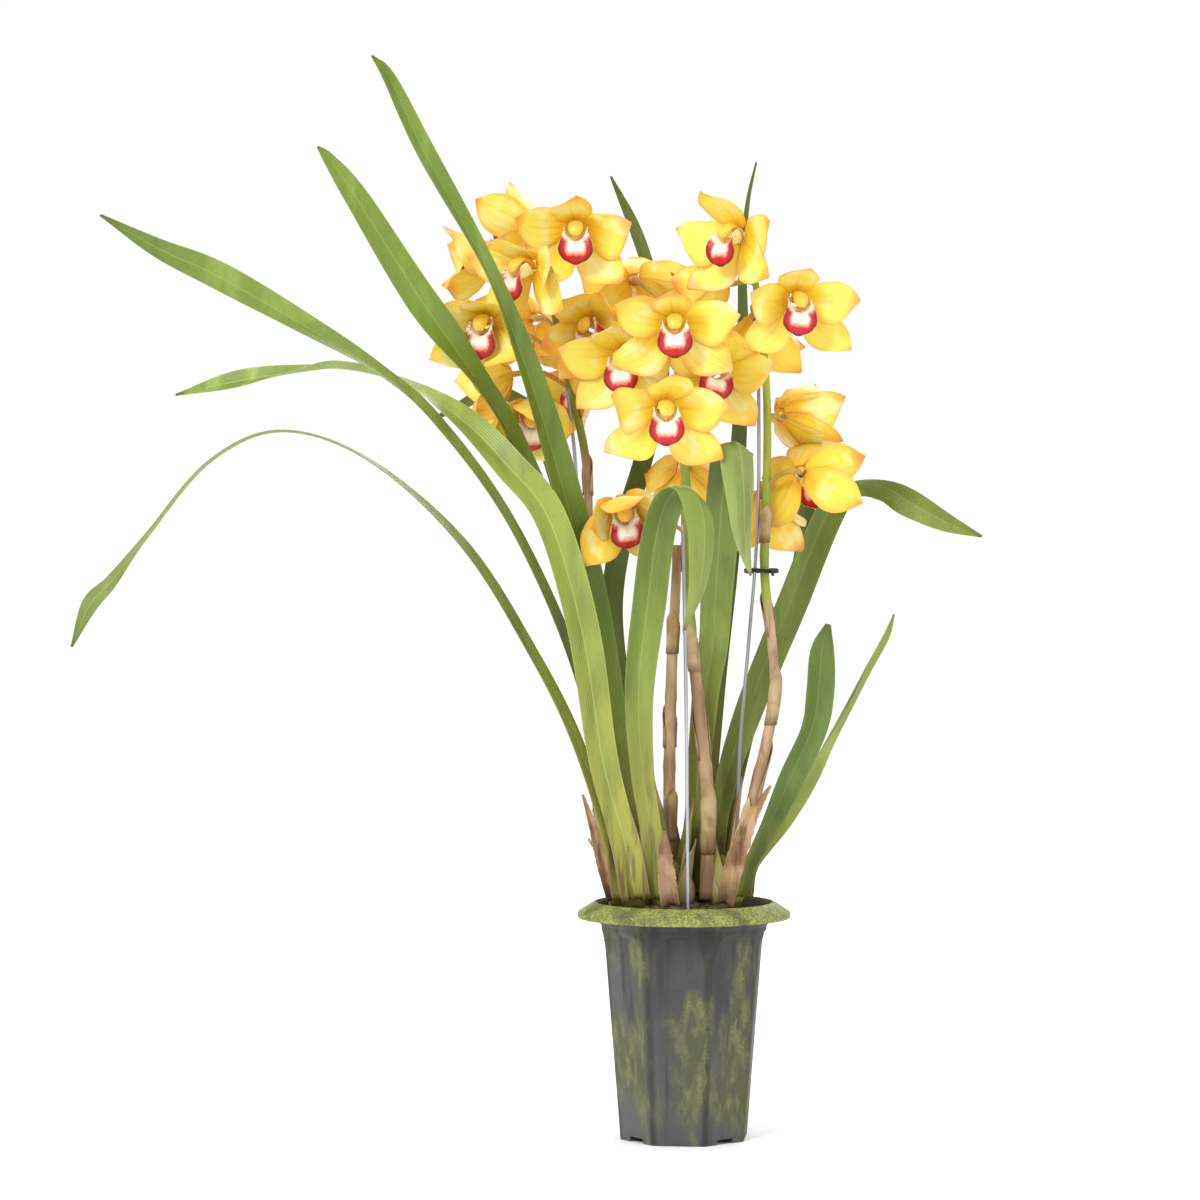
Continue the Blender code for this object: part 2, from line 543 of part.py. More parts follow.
def tepal_point(u, v, tepal, side, form):
    """A place on a petal in the flower's own frame, u along and v across it. Side is -1 for a left one."""
    angle, length, width, leans = TEPALS[tepal]
    foot, tip = (math.radians(lean) for lean in leans[form])
    lean = foot + (tip - foot) * u
    out = HUB_RADIUS + length * (math.sin(lean) - math.sin(foot)) / (tip - foot)
    lift = length * (math.cos(foot) - math.cos(lean)) / (tip - foot)
    half = v * width / 2 * tepal_outline(u)
    lift += 0.30 * v * v * math.sin(math.pi * u) * math.cos(lean)
    turn = math.radians(side * angle)
    x = out * math.sin(turn) + half * math.cos(turn)
    y = out * math.cos(turn) - half * math.sin(turn)
    return Vector((x, y, lift)) * CM


def lip_point(u, v):
    """A place on the lip: a trough coming forward from the hub, turning down at its broad front lobe."""
    forward, half, up, curl = LIP_ROWS[round(u * 3)]
    return Vector((-v * half, up + curl * v * v, forward)) * CM


def add_strap(bm, rows):
    """Faces between the rows of places given, closed to a point where the last row has only one."""
    verts = [[bm.verts.new(place) for place in row] for row in rows]
    for low, high in zip(verts, verts[1:]):
        for k in range(2):
            if len(high) == 1:
                bm.faces.new((low[k], high[0], low[k + 1]))
            else:
                bm.faces.new((low[k], high[k], high[k + 1], low[k + 1]))
    return verts[0]


def corolla_mesh(form):
    """Five petals and sepals and the lip, spreading from one small hub as an open surface."""
    bm = bmesh.new()
    ring = []
    around = (("lower_sepal", -1), ("petal", -1), ("upper_sepal", 1), ("petal", 1), ("lower_sepal", 1))
    for tepal, side in around:
        rows = [[tepal_point(u, v, tepal, side, form) for v in across] for u, across in TEPAL_STATIONS]
        ring += add_strap(bm, rows)
    ring += add_strap(bm, [[lip_point(i / 3, v) for v in (-1, 0, 1)] for i in range(4)])
    hub = bm.verts.new((0, 0, 0))
    for a, b in zip(ring, ring[1:] + ring[:1]):
        bm.faces.new((hub, a, b))
    return mesh_from(bm, "corolla")


def plated(name, mesh, home):
    """An open surface thickened evenly on both sides."""
    made = add_object(name, mesh, None, home)
    plate = made.modifiers.new("plate", "SOLIDIFY")
    plate.thickness = TEPAL_THICKNESS
    plate.offset = 0
    return made


def flower_mesh(form, tools):
    """One whole flower: petals, sepals and lip with the column standing on their hub, joined."""
    corolla = plated("corolla_" + form, corolla_mesh(form), tools)
    column_path = [Vector((0, y, z)) * CM for y, z in COLUMN]
    column = solid_tube("column_" + form, column_path, COLUMN_RADII, 6, None, tools)
    boolean(corolla, column, "UNION")
    mesh = baked(corolla, "flower_" + form)
    for tool in (corolla, column):
        bpy.data.objects.remove(tool)
    smooth(mesh)
    return mesh


def facing(yaw, pitch, roll):
    """Rotation that turns a flower's own +Z to where it faces, with its own +Y up before the roll."""
    a = math.radians(yaw)
    b = math.radians(pitch)
    ahead = Vector((math.sin(a) * math.cos(b), -math.cos(a) * math.cos(b), math.sin(b)))
    up = Vector((-math.sin(a) * math.sin(b), math.cos(a) * math.sin(b), math.cos(b)))
    right = up.cross(ahead)
    return Matrix((right, up, ahead)).transposed() @ Matrix.Rotation(-math.radians(roll), 3, "Z")


def stalk_path(stem, middle, ahead):
    """A flower stalk in cm: off the stem, then curving to meet the flower's back squarely."""
    meet = middle - ahead * 0.45
    bend = meet - ahead * 0.6
    reach = (bend - min(stem, key=lambda p: (p - bend).length)).length
    foot = min(stem, key=lambda p: abs(p.z - (bend.z - 0.45 * reach)))
    out = bend - foot
    pull = 0.4 * out.length
    first = foot + Vector((out.x * 0.35, out.y * 0.35, 0.6 * pull))
    second = bend - ahead * pull
    path = []
    for i in range(4):
        t = i / 3
        near_foot = foot * (1 - t) ** 3 + first * 3 * t * (1 - t) ** 2
        near_bend = second * 3 * t * t * (1 - t) + bend * t ** 3
        path.append(near_foot + near_bend)
    return path + [meet]


def build_flowers(home, tools):
    """Every flower, and the stalk paths that lead to them from each spike."""
    look = material("flower", 0.45)
    meshes = {form: flower_mesh(form, tools) for form in FORMS}
    stalks = {name: [] for name in STEMS}
    for name, (spike, place, yaw, pitch, roll, form) in FLOWERS.items():
        turn = facing(yaw, pitch, roll)
        flower = add_object(name, meshes[form], look, home)
        flower.matrix_world = Matrix.Translation(Vector(place) * CM) @ turn.to_4x4()
        stem = smooth_path(STEMS[spike][0], 60)
        stalks[spike].append(stalk_path(stem, Vector(place), turn @ Vector((0, 0, 1))))
    return stalks


def build_stems(home, tools, stalks):
    """Each spike with its flower stalks grown into it as one solid."""
    count = 12
    for name, (points, low, high) in STEMS.items():
        look = material("dry", 0.8) if name == "old_flower_stem" else material("stem", 0.5)
        path = [p * CM for p in smooth_path(points, count)]
        radii = [(low + (high - low) * i / (count - 1)) * CM for i in range(count)]
        stem = solid_tube(name, path, radii, 6, look, home)
        for number, stalk in enumerate(stalks[name], 1):
            widths = [0.0016 + 0.0009 * i / 4 for i in range(5)]
            branch = solid_tube(f"{name}_stalk_{number}", [p * CM for p in stalk], widths, 6, None, tools)
            boolean(stem, as_cutter(branch), "UNION")


def build_wires(home, tools):
    """The support wires, and the slightly wider bores that they need in the mix."""
    look = material("wire", 0.35, 0.9)
    bores = []
    for name, points in WIRES.items():
        path = [p * CM for p in smooth_path(points, 8)]
        solid_tube(name, path, [WIRE_RADIUS] * 8, 6, look, home)
        low = [path[0] - Vector((0, 0, 0.0006))] + path[1:]
        bores.append(as_cutter(solid_tube(name + "_bore", low, [WIRE_RADIUS * 1.5] * 8, 6, None, tools)))
    return bores


def build_ties(home):
    """Twist ties: small open-centred rings round a spike and its wire."""
    look = material("tie", 0.5)
    for name, (middle, across, deep) in TIES.items():
        bm = bmesh.new()
        bmesh.ops.create_cone(bm, cap_ends=False, segments=12, radius1=1, radius2=1, depth=TIE_BAND)
        bmesh.ops.scale(bm, vec=(across * CM, deep * CM, 1), verts=bm.verts)
        tie = add_object(name, mesh_from(bm, name), look, home)
        tie.location = Vector(middle) * CM
        plate = tie.modifiers.new("plate", "SOLIDIFY")
        plate.thickness = TIE_THICKNESS


def build():
    for old in list(bpy.data.objects):
        bpy.data.objects.remove(old)
    home = bpy.data.collections.new("potted_cymbidium")
    tools = bpy.data.collections.new("cutters")
    for collection in (home, tools):
        bpy.context.scene.collection.children.link(collection)

    build_pot(home, tools)
    sockets = []
    for name, (place, across, deep, height) in BULBS.items():
        egg(name, place, across, deep, height, 0, material("bulb", 0.5), home)
        sockets.append(as_cutter(egg(name + "_socket", place, across, deep, height, 2 * GAP, None, tools)))
    for name, rows in LEAVES.items():
        strap(name, rows, LEAF_THICKNESS, LEAF_STATIONS, material("leaf", 0.42), home)
    for name, rows in SHEATHS.items():
        strap(name, rows, SHEATH_THICKNESS, SHEATH_STATIONS, material("sheath", 0.85), home)
    stalks = build_flowers(home, tools)
    build_stems(home, tools, stalks)
    sockets += build_wires(home, tools)
    build_mix(home, sockets)
    build_ties(home)


build()
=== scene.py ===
"""Looks of a standard cymbidium orchid in flower, in its tall nursery pot.

Metres, +Z up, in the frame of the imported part. Places along leaves, stems and flowers are in centimetres.
Every plant piece is lofted finely round the midrib or hub of the solid that it stands for.
"""
import math
import random

import bmesh
import bpy
import numpy as np
from mathutils import Matrix, Vector


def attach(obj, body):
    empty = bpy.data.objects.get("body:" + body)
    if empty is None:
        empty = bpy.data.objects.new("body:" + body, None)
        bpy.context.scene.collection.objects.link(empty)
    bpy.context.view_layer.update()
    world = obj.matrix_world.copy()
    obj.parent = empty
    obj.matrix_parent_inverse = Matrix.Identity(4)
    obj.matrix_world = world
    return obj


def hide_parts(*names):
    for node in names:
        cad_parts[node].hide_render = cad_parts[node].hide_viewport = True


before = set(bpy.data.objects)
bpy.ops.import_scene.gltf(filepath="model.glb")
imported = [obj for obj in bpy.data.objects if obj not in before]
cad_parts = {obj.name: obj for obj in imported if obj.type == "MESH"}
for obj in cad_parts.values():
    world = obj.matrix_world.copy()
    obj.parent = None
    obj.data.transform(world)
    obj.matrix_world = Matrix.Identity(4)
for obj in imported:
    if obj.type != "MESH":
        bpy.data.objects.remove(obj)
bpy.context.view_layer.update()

CM = 0.01

# The pot, as in the part.
POT_HEIGHT = 0.200
POT_TURN = math.radians(-6)
WALL = 0.0016
FLOOR = 0.0026
BASE_RADIUS = 0.0567
SHOULDER_RADIUS = 0.0706
SHOULDER_HEIGHT = 0.184
PANELS = 8
PANEL_TOP = 0.175
PANEL_HALF_WIDTH = 0.0228
PANEL_CORNER = 0.017
BASE_APOTHEM = BASE_RADIUS * math.cos(math.pi / PANELS)
TOP_APOTHEM = 0.0662
MOUTH_RADIUS = 0.075
RIM_RADIUS = 0.0905
POT_STEPS = 256
SLOTS = 4
SLOT_WIDTH = 0.0175
SLOT_HEIGHT = 0.0045
SLOT_DEPTH = 0.012
SLOT_ROUNDING = 0.0012
PANEL_SOFTNESS = 0.0005
MIX_EDGE = 0.186
MIX_CROWN = 0.197
MIX_GAP = 0.0012
CENTRE_RADIUS = 0.020
POT_SHARP_ANGLE = 38
# Patches of algae on the pot's front: x, height, and their reach across and up, in metres.
ALGAE = (
    (0.000, 0.060, 0.026, 0.052), (0.041, 0.095, 0.024, 0.050), (-0.048, 0.068, 0.024, 0.050),
    (-0.020, 0.035, 0.030, 0.030), (0.036, 0.038, 0.022, 0.034), (-0.040, 0.150, 0.012, 0.022),
    (0.006, 0.118, 0.010, 0.016), (0.045, 0.150, 0.014, 0.030),
)
# The darker area where a label was: x, height, half width and half height.
LABEL = (-0.016, 0.1195, 0.0142, 0.0128)

# Loose pieces on the mix: how many, and the least and most of their size, width and height, the last two as
# shares of the size.
LOOSE_SEED = 7
LOOSE_PIECES = 520
PERLITE_EVERY = 7
PERLITE = ((0.0010, 0.0019), (0.7, 1.0), (0.6, 0.9))
BARK_CHIP = ((0.0022, 0.0060), (0.5, 0.9), (0.25, 0.5))
ROOTS = 16
MOSS_TUFTS = 420
MOSS_CLUMPS = (0.9, 2.3, 3.9, 5.2, 5.8)

# Bulbs: (x, y, bottom) in cm, with half widths across and in depth, and height.
BULBS = {
    "pseudobulb_left": ((-4.4, 0.3, 18.9), 1.10, 0.75, 4.4),
    "pseudobulb_center": ((-0.9, -0.3, 18.9), 1.05, 0.85, 4.6),
    "pseudobulb_back": ((0.4, 3.4, 18.7), 1.20, 1.00, 4.2),
    "pseudobulb_right": ((3.3, 1.0, 18.9), 0.95, 0.85, 5.0),
    "pseudobulb_old": ((-3.2, 3.9, 18.6), 1.30, 1.10, 4.0),
}

# Leaves: (x, y, z, width) in cm and the turn of the blade about its midrib in degrees, from base to tip.
LEAVES = {
    "leaf_tall_left": [
        (-3.4, -1.4, 20.4, 1.7, 10), (-4.0, -1.3, 25.0, 2.1, 15), (-5.9, -1.5, 34.2, 2.6, 20),
        (-8.0, -2.3, 46.4, 2.9, 28), (-11.0, -6.6, 58.0, 2.8, 42), (-13.6, -9.6, 66.1, 2.5, 50),
        (-16.4, -10.6, 72.9, 2.1, 62), (-21.4, -11.2, 82.1, 1.8, 35), (-24.3, -11.5, 88.1, 1.1, 20),
        (-25.7, -12.0, 89.9, 0.2, 10),
    ],
    "leaf_long_left": [
        (-4.9, -0.7, 20.4, 1.4, 10), (-5.6, -0.4, 26.0, 1.9, 15), (-7.4, -0.5, 37.1, 2.2, 30),
        (-10.5, -1.4, 49.0, 2.5, 35), (-14.3, -3.0, 58.9, 2.6, 60), (-17.4, -6.6, 64.1, 2.7, 62),
        (-22.0, -9.2, 70.5, 2.6, 10), (-27.0, -11.0, 78.4, 2.0, 15), (-29.2, -11.6, 81.5, 1.0, 10),
        (-30.1, -12.0, 82.5, 0.2, 0),
    ],
    "leaf_lance_left": [
        (-5.0, -1.5, 20.4, 1.0, 10), (-5.9, -1.1, 26.0, 1.4, 20), (-8.9, -2.4, 39.1, 2.0, 60),
        (-14.4, -7.6, 51.7, 2.2, 78), (-20.5, -12.5, 60.2, 2.4, 80), (-25.1, -14.0, 64.2, 2.5, 82),
        (-30.9, -15.5, 67.7, 2.6, 64), (-37.7, -17.0, 71.5, 2.4, 36), (-42.2, -18.5, 73.5, 1.6, 30),
        (-46.6, -20.0, 76.0, 0.2, 25),
    ],
    "leaf_broad_left": [
        (-4.1, -2.2, 20.4, 1.7, 0), (-5.0, -2.5, 25.0, 2.1, 5), (-6.9, -3.4, 32.2, 2.5, 10),
        (-8.6, -5.4, 43.1, 2.9, 20), (-11.3, -6.7, 52.3, 2.9, 25), (-14.7, -6.3, 56.7, 2.8, 25),
        (-18.8, -4.2, 60.9, 2.6, 40), (-23.9, 0.0, 64.2, 2.4, 73), (-29.0, 2.0, 65.6, 2.2, 82),
        (-32.9, 3.0, 65.4, 2.1, 55), (-38.6, 4.0, 64.5, 1.9, 15), (-43.8, 4.5, 63.3, 0.2, 10),
    ],
    "leaf_thin_left": [
        (-5.5, -2.2, 20.4, 0.9, 20), (-6.3, -2.3, 25.0, 1.2, 35), (-9.0, -2.8, 33.5, 1.4, 45),
        (-12.6, -2.8, 40.8, 1.5, 58), (-18.5, -4.6, 50.2, 1.6, 68), (-26.3, -7.0, 57.2, 1.6, 88),
        (-33.3, -9.0, 59.5, 1.6, 98), (-39.0, -11.0, 56.9, 1.6, 104), (-44.0, -12.0, 50.8, 1.6, 98),
        (-46.8, -12.5, 47.1, 1.6, 72), (-48.5, -13.0, 45.2, 1.4, 40), (-49.9, -13.5, 41.8, 0.2, 0),
    ],
    "leaf_back_left": [
        (-4.6, 1.8, 20.4, 1.4, 0), (-4.9, 2.6, 26.0, 1.7, 0), (-6.6, 5.0, 37.8, 1.9, 10),
        (-9.6, 8.0, 51.7, 2.0, 20), (-12.4, 9.6, 60.5, 1.9, 30), (-15.0, 9.8, 63.4, 1.6, 35),
        (-17.4, 9.4, 63.6, 1.3, 40), (-19.3, 8.8, 62.6, 1.0, 30), (-21.8, 8.2, 61.4, 0.2, 20),
    ],
    "leaf_center_back": [
        (-3.2, 1.5, 20.4, 1.4, 0), (-3.6, 2.0, 26.0, 1.8, 0), (-5.4, 4.0, 36.2, 2.2, 5),
        (-6.2, 6.0, 44.7, 2.1, 20), (-5.2, 7.6, 51.7, 2.0, 30), (-3.7, 8.6, 57.0, 1.9, 35),
        (-2.1, 9.6, 63.1, 1.8, 40), (-1.8, 10.0, 68.4, 1.7, 45), (-2.2, 9.9, 72.1, 1.5, 50),
        (-4.0, 9.4, 77.9, 1.2, 30), (-6.2, 8.4, 82.7, 0.2, 10),
    ],
    "leaf_needle_back": [
        (1.6, 5.2, 20.2, 1.3, 0), (1.9, 5.9, 27.0, 1.7, 0), (2.8, 7.4, 38.0, 2.0, 20),
        (4.1, 9.2, 49.1, 2.0, 30), (5.0, 11.0, 59.7, 1.8, 40), (5.4, 12.0, 68.8, 1.5, 45),
        (5.4, 12.0, 75.7, 1.1, 50), (5.9, 12.0, 80.8, 0.6, 50), (6.7, 12.0, 84.4, 0.2, 40),
    ],
    "leaf_folded_center": [
        (-2.5, -2.2, 20.4, 1.4, 0), (-2.7, -2.4, 25.0, 1.7, 0), (-3.6, -3.1, 31.3, 2.0, 5),
        (-3.9, -4.6, 38.1, 2.5, 10), (-3.1, -6.0, 45.6, 2.9, 15), (-2.4, -6.9, 51.0, 2.9, 15),
        (-1.4, -7.9, 54.0, 2.8, 18), (0.1, -9.2, 54.6, 2.7, 40), (1.2, -10.2, 52.0, 2.6, 62),
        (1.0, -10.2, 47.2, 1.8, 68), (-0.2, -9.6, 43.1, 0.2, 68),
    ],
    "leaf_folded_right": [
        (0.6, 1.3, 20.4, 1.3, 0), (0.8, 1.3, 25.0, 1.6, 0), (1.2, 1.3, 30.5, 1.9, 5),
        (1.9, 1.3, 38.0, 2.3, 5), (2.5, 0.8, 41.8, 2.5, 8), (2.7, -1.5, 46.5, 2.8, 12),
        (3.1, -4.2, 53.1, 3.2, 18), (3.7, -6.1, 57.6, 3.5, 15), (4.2, -7.4, 58.1, 3.5, 10),
        (4.5, -8.4, 55.0, 3.1, 10), (4.7, -8.5, 50.9, 1.8, 10), (5.3, -8.2, 47.6, 0.2, 10),
    ],
    "leaf_strap_right": [
        (2.3, 2.6, 20.4, 1.4, 0), (2.7, 3.0, 25.0, 1.6, 5), (3.7, 3.8, 30.1, 1.9, 10),
        (5.4, 4.8, 35.3, 2.4, 15), (7.4, 5.6, 40.4, 2.7, 20), (9.6, 6.4, 45.6, 2.9, 20),
        (12.7, 7.4, 53.0, 2.8, 25), (14.8, 7.6, 55.4, 2.7, 62), (17.6, 7.0, 55.3, 2.6, 45),
        (19.9, 6.4, 54.0, 2.5, 12), (22.8, 5.7, 52.4, 1.7, 10), (25.9, 5.0, 51.1, 0.2, 10),
    ],
    "leaf_short_right": [
        (4.9, -0.4, 20.4, 0.9, 20), (5.5, -0.6, 23.0, 1.2, 20), (7.4, -1.4, 27.0, 1.8, 20),
        (9.0, -3.4, 30.9, 2.3, 18), (10.7, -4.2, 34.9, 2.5, 25), (11.2, -4.6, 38.1, 2.5, 20),
        (11.4, -4.9, 41.4, 2.0, 10), (11.9, -5.0, 43.6, 0.5, 10),
    ],
    "leaf_blade_right": [
        (5.2, 0.9, 20.4, 0.9, 10), (5.8, 1.0, 23.0, 1.2, 15), (8.3, 1.0, 26.8, 1.9, 20),
        (10.8, 0.6, 30.8, 2.1, 50), (12.4, 0.3, 33.7, 2.0, 68), (13.9, 0.0, 36.5, 1.9, 76),
        (15.6, -0.2, 39.8, 1.6, 70), (17.1, -0.4, 42.6, 1.0, 55), (17.8, -0.5, 44.4, 0.2, 50),
    ],
    "leaf_hanging_right": [
        (3.4, 4.4, 20.2, 1.3, 0), (3.7, 5.0, 26.0, 1.5, 0), (6.0, 7.0, 36.3, 1.8, 15),
        (8.4, 8.8, 42.1, 1.9, 20), (10.2, 10.4, 46.9, 2.0, 25), (11.0, 11.4, 51.8, 1.9, 25),
        (10.6, 11.2, 56.2, 1.8, 20), (9.9, 9.8, 57.9, 1.7, 15), (9.3, 8.4, 56.6, 1.6, 10),
        (9.0, 8.2, 54.4, 1.3, 10), (9.5, 8.2, 51.1, 0.2, 10),
    ],
}

# Leaf bases clasping each bulb, inner to outer: height, lean across and lean in depth, in cm.
WRAPS = {
    "pseudobulb_left": (
        (11.5, -1.6, -0.4), (10.0, 1.2, -0.5), (8.5, -2.4, -0.6), (7.5, 1.0, -0.7), (6.0, -2.6, -0.6),
        (4.5, 0.9, -0.5),
    ),
    "pseudobulb_center": (
        (11.0, -0.9, -0.4), (9.5, 0.9, -0.4), (7.5, -1.0, -0.6), (6.0, 0.9, -0.6), (4.5, -1.0, -0.5),
    ),
    "pseudobulb_back": ((11.0, -1.0, 0.3), (9.5, 1.4, 0.4), (7.5, -0.8, 0.3), (6.0, 1.6, 0.4)),
    "pseudobulb_right": (
        (11.0, 1.0, -0.3), (9.0, -0.9, -0.4), (7.0, 1.4, -0.5), (6.0, -0.9, -0.5), (4.5, 1.5, -0.5),
    ),
    "pseudobulb_old": ((7.5, -0.8, 0.2), (6.0, 1.0, 0.2), (5.0, -1.0, 0.3)),
}

# Each leaf's colour at its base, middle and tip.
LEAF_COLOURS = {
    "leaf_tall_left": ((0.330, 0.327, 0.043), (0.127, 0.198, 0.014), (0.165, 0.233, 0.023)),
    "leaf_long_left": ((0.308, 0.307, 0.043), (0.149, 0.218, 0.017), (0.198, 0.262, 0.032)),
    "leaf_lance_left": ((0.341, 0.337, 0.050), (0.165, 0.235, 0.028), (0.115, 0.172, 0.021)),
    "leaf_broad_left": ((0.341, 0.337, 0.050), (0.265, 0.340, 0.054), (0.175, 0.245, 0.036)),
    "leaf_thin_left": ((0.341, 0.337, 0.050), (0.185, 0.250, 0.036), (0.150, 0.205, 0.032)),
    "leaf_back_left": ((0.220, 0.228, 0.029), (0.094, 0.144, 0.012), (0.116, 0.163, 0.014)),
    "leaf_center_back": ((0.176, 0.198, 0.022), (0.068, 0.114, 0.009), (0.105, 0.148, 0.013)),
    "leaf_needle_back": ((0.176, 0.198, 0.022), (0.064, 0.104, 0.009), (0.138, 0.178, 0.020)),
    "leaf_folded_center": ((0.286, 0.287, 0.043), (0.160, 0.223, 0.024), (0.237, 0.297, 0.058)),
    "leaf_folded_right": ((0.242, 0.247, 0.036), (0.176, 0.238, 0.032), (0.319, 0.396, 0.119)),
    "leaf_strap_right": ((0.220, 0.228, 0.029), (0.132, 0.183, 0.016), (0.176, 0.228, 0.029)),
    "leaf_short_right": ((0.220, 0.228, 0.029), (0.090, 0.144, 0.013), (0.127, 0.173, 0.020)),
    "leaf_blade_right": ((0.275, 0.277, 0.043), (0.220, 0.277, 0.037), (0.259, 0.307, 0.050)),
    "leaf_hanging_right": ((0.198, 0.208, 0.029), (0.097, 0.139, 0.012), (0.138, 0.188, 0.020)),
}

# How far a blade's edges rise, as a share of half its width, and the leaves flatter than the rest.
LEAF_KEEL = 0.22
SHEATH_KEEL = 0.35
FLAT_KEELS = {"leaf_thin_left": 0.07, "leaf_lance_left": 0.13}

# How finely blades and stems are drawn along their length, and how torn a sheath's edges are.
LEAF_STATIONS = 110
SHEATH_STATIONS = 40
STEM_STATIONS = 90
STALK_STATIONS = 34
SHEATH_TEARS = 0.12

# Thickness of blades at their middles, in metres.
LEAF_THICKNESS = 0.0012
SHEATH_THICKNESS = 0.0007
WRAP_THICKNESS = 0.0009
BRACT_THICKNESS = 0.0005
TEPAL_THICKNESS = 0.0011
LIP_THICKNESS = 0.0012

# Dry sheaths at the feet of the fans, listed as the leaves are.
SHEATHS = {
    "dry_sheath_left": [
        (-6.1, -1.6, 20.2, 0.9, 0), (-6.9, -1.8, 23.5, 1.2, 10), (-7.8, -2.0, 26.6, 0.7, 20),
        (-8.6, -2.1, 29.2, 0.2, 20),
    ],
    "dry_sheath_center": [
        (-1.2, -3.0, 19.9, 1.6, 0), (-1.5, -3.2, 22.0, 1.5, 0), (-1.7, -3.4, 24.4, 1.1, 5),
        (-1.8, -3.6, 26.2, 0.3, 10),
    ],
    "dry_sheath_right": [
        (3.3, -3.2, 20.0, 1.5, 0), (4.3, -3.6, 24.0, 1.6, 0), (5.6, -3.6, 27.4, 1.0, 0),
        (7.2, -3.1, 30.0, 0.2, 0),
    ],
}

# Stems, base to top, in cm, each with its radius in cm at the base and at the top.
STEMS = {
    "flower_spike_left": (
        [(-6.1, 1.9, 20.2), (-7.0, 1.8, 26.0), (-8.0, 1.2, 36.0), (-8.1, 0.8, 46.0), (-8.3, 0.6, 57.0),
         (-9.9, 0.8, 64.5), (-11.2, 0.8, 71.0), (-12.0, 0.6, 75.5)],
        0.50, 0.26,
    ),
    "flower_spike_center": (
        [(1.9, -0.1, 20.2), (2.0, -0.2, 28.6), (1.4, 0.0, 35.4), (0.5, 0.2, 43.9), (0.2, 0.6, 51.0),
         (0.1, 0.8, 57.5), (-0.5, 0.8, 65.0), (-1.2, 0.8, 70.5)],
        0.62, 0.28,
    ),
    "flower_spike_right": (
        [(3.2, -2.2, 20.4), (4.4, -2.5, 24.6), (5.6, -2.4, 28.0), (6.8, -1.5, 33.0), (7.7, -0.2, 37.5),
         (7.5, 0.8, 42.2), (6.9, 1.2, 48.2), (7.1, 1.2, 55.8), (7.1, 1.0, 62.6), (6.6, 0.8, 69.0),
         (5.9, 0.6, 74.0)],
        0.55, 0.28,
    ),
    "old_flower_stem": (
        [(-1.2, 1.5, 20.2), (-1.2, 1.5, 26.0), (-1.2, 1.5, 32.0), (-1.0, 1.7, 40.0), (-0.7, 1.9, 45.6),
         (-0.5, 2.0, 50.3)],
        0.58, 0.40,
    ),
}

# Radius of a flower stalk at its foot and at the flower, in metres.
STALK_RADII = (0.0017, 0.0026)

# Papery bracts on the stems: the height of the foot in cm, length in cm, and the side they face in degrees.
BRACTS = {
    "flower_spike_left": ((27, 5.0, 20), (36, 4.5, 200), (46, 4.2, -20), (54.5, 3.6, 150)),
    "flower_spike_center": ((24, 6.5, 10), (32, 5.5, 190), (39.5, 4.5, -30), (48, 3.6, 160)),
    "flower_spike_right": ((23, 6.0, -40), (28, 6.0, 150), (35, 5.0, 20), (42.5, 4.0, 200), (50.5, 3.2, 0)),
    "old_flower_stem": ((25, 4.5, 30), (33, 4.0, 200), (41, 3.8, -20)),
}

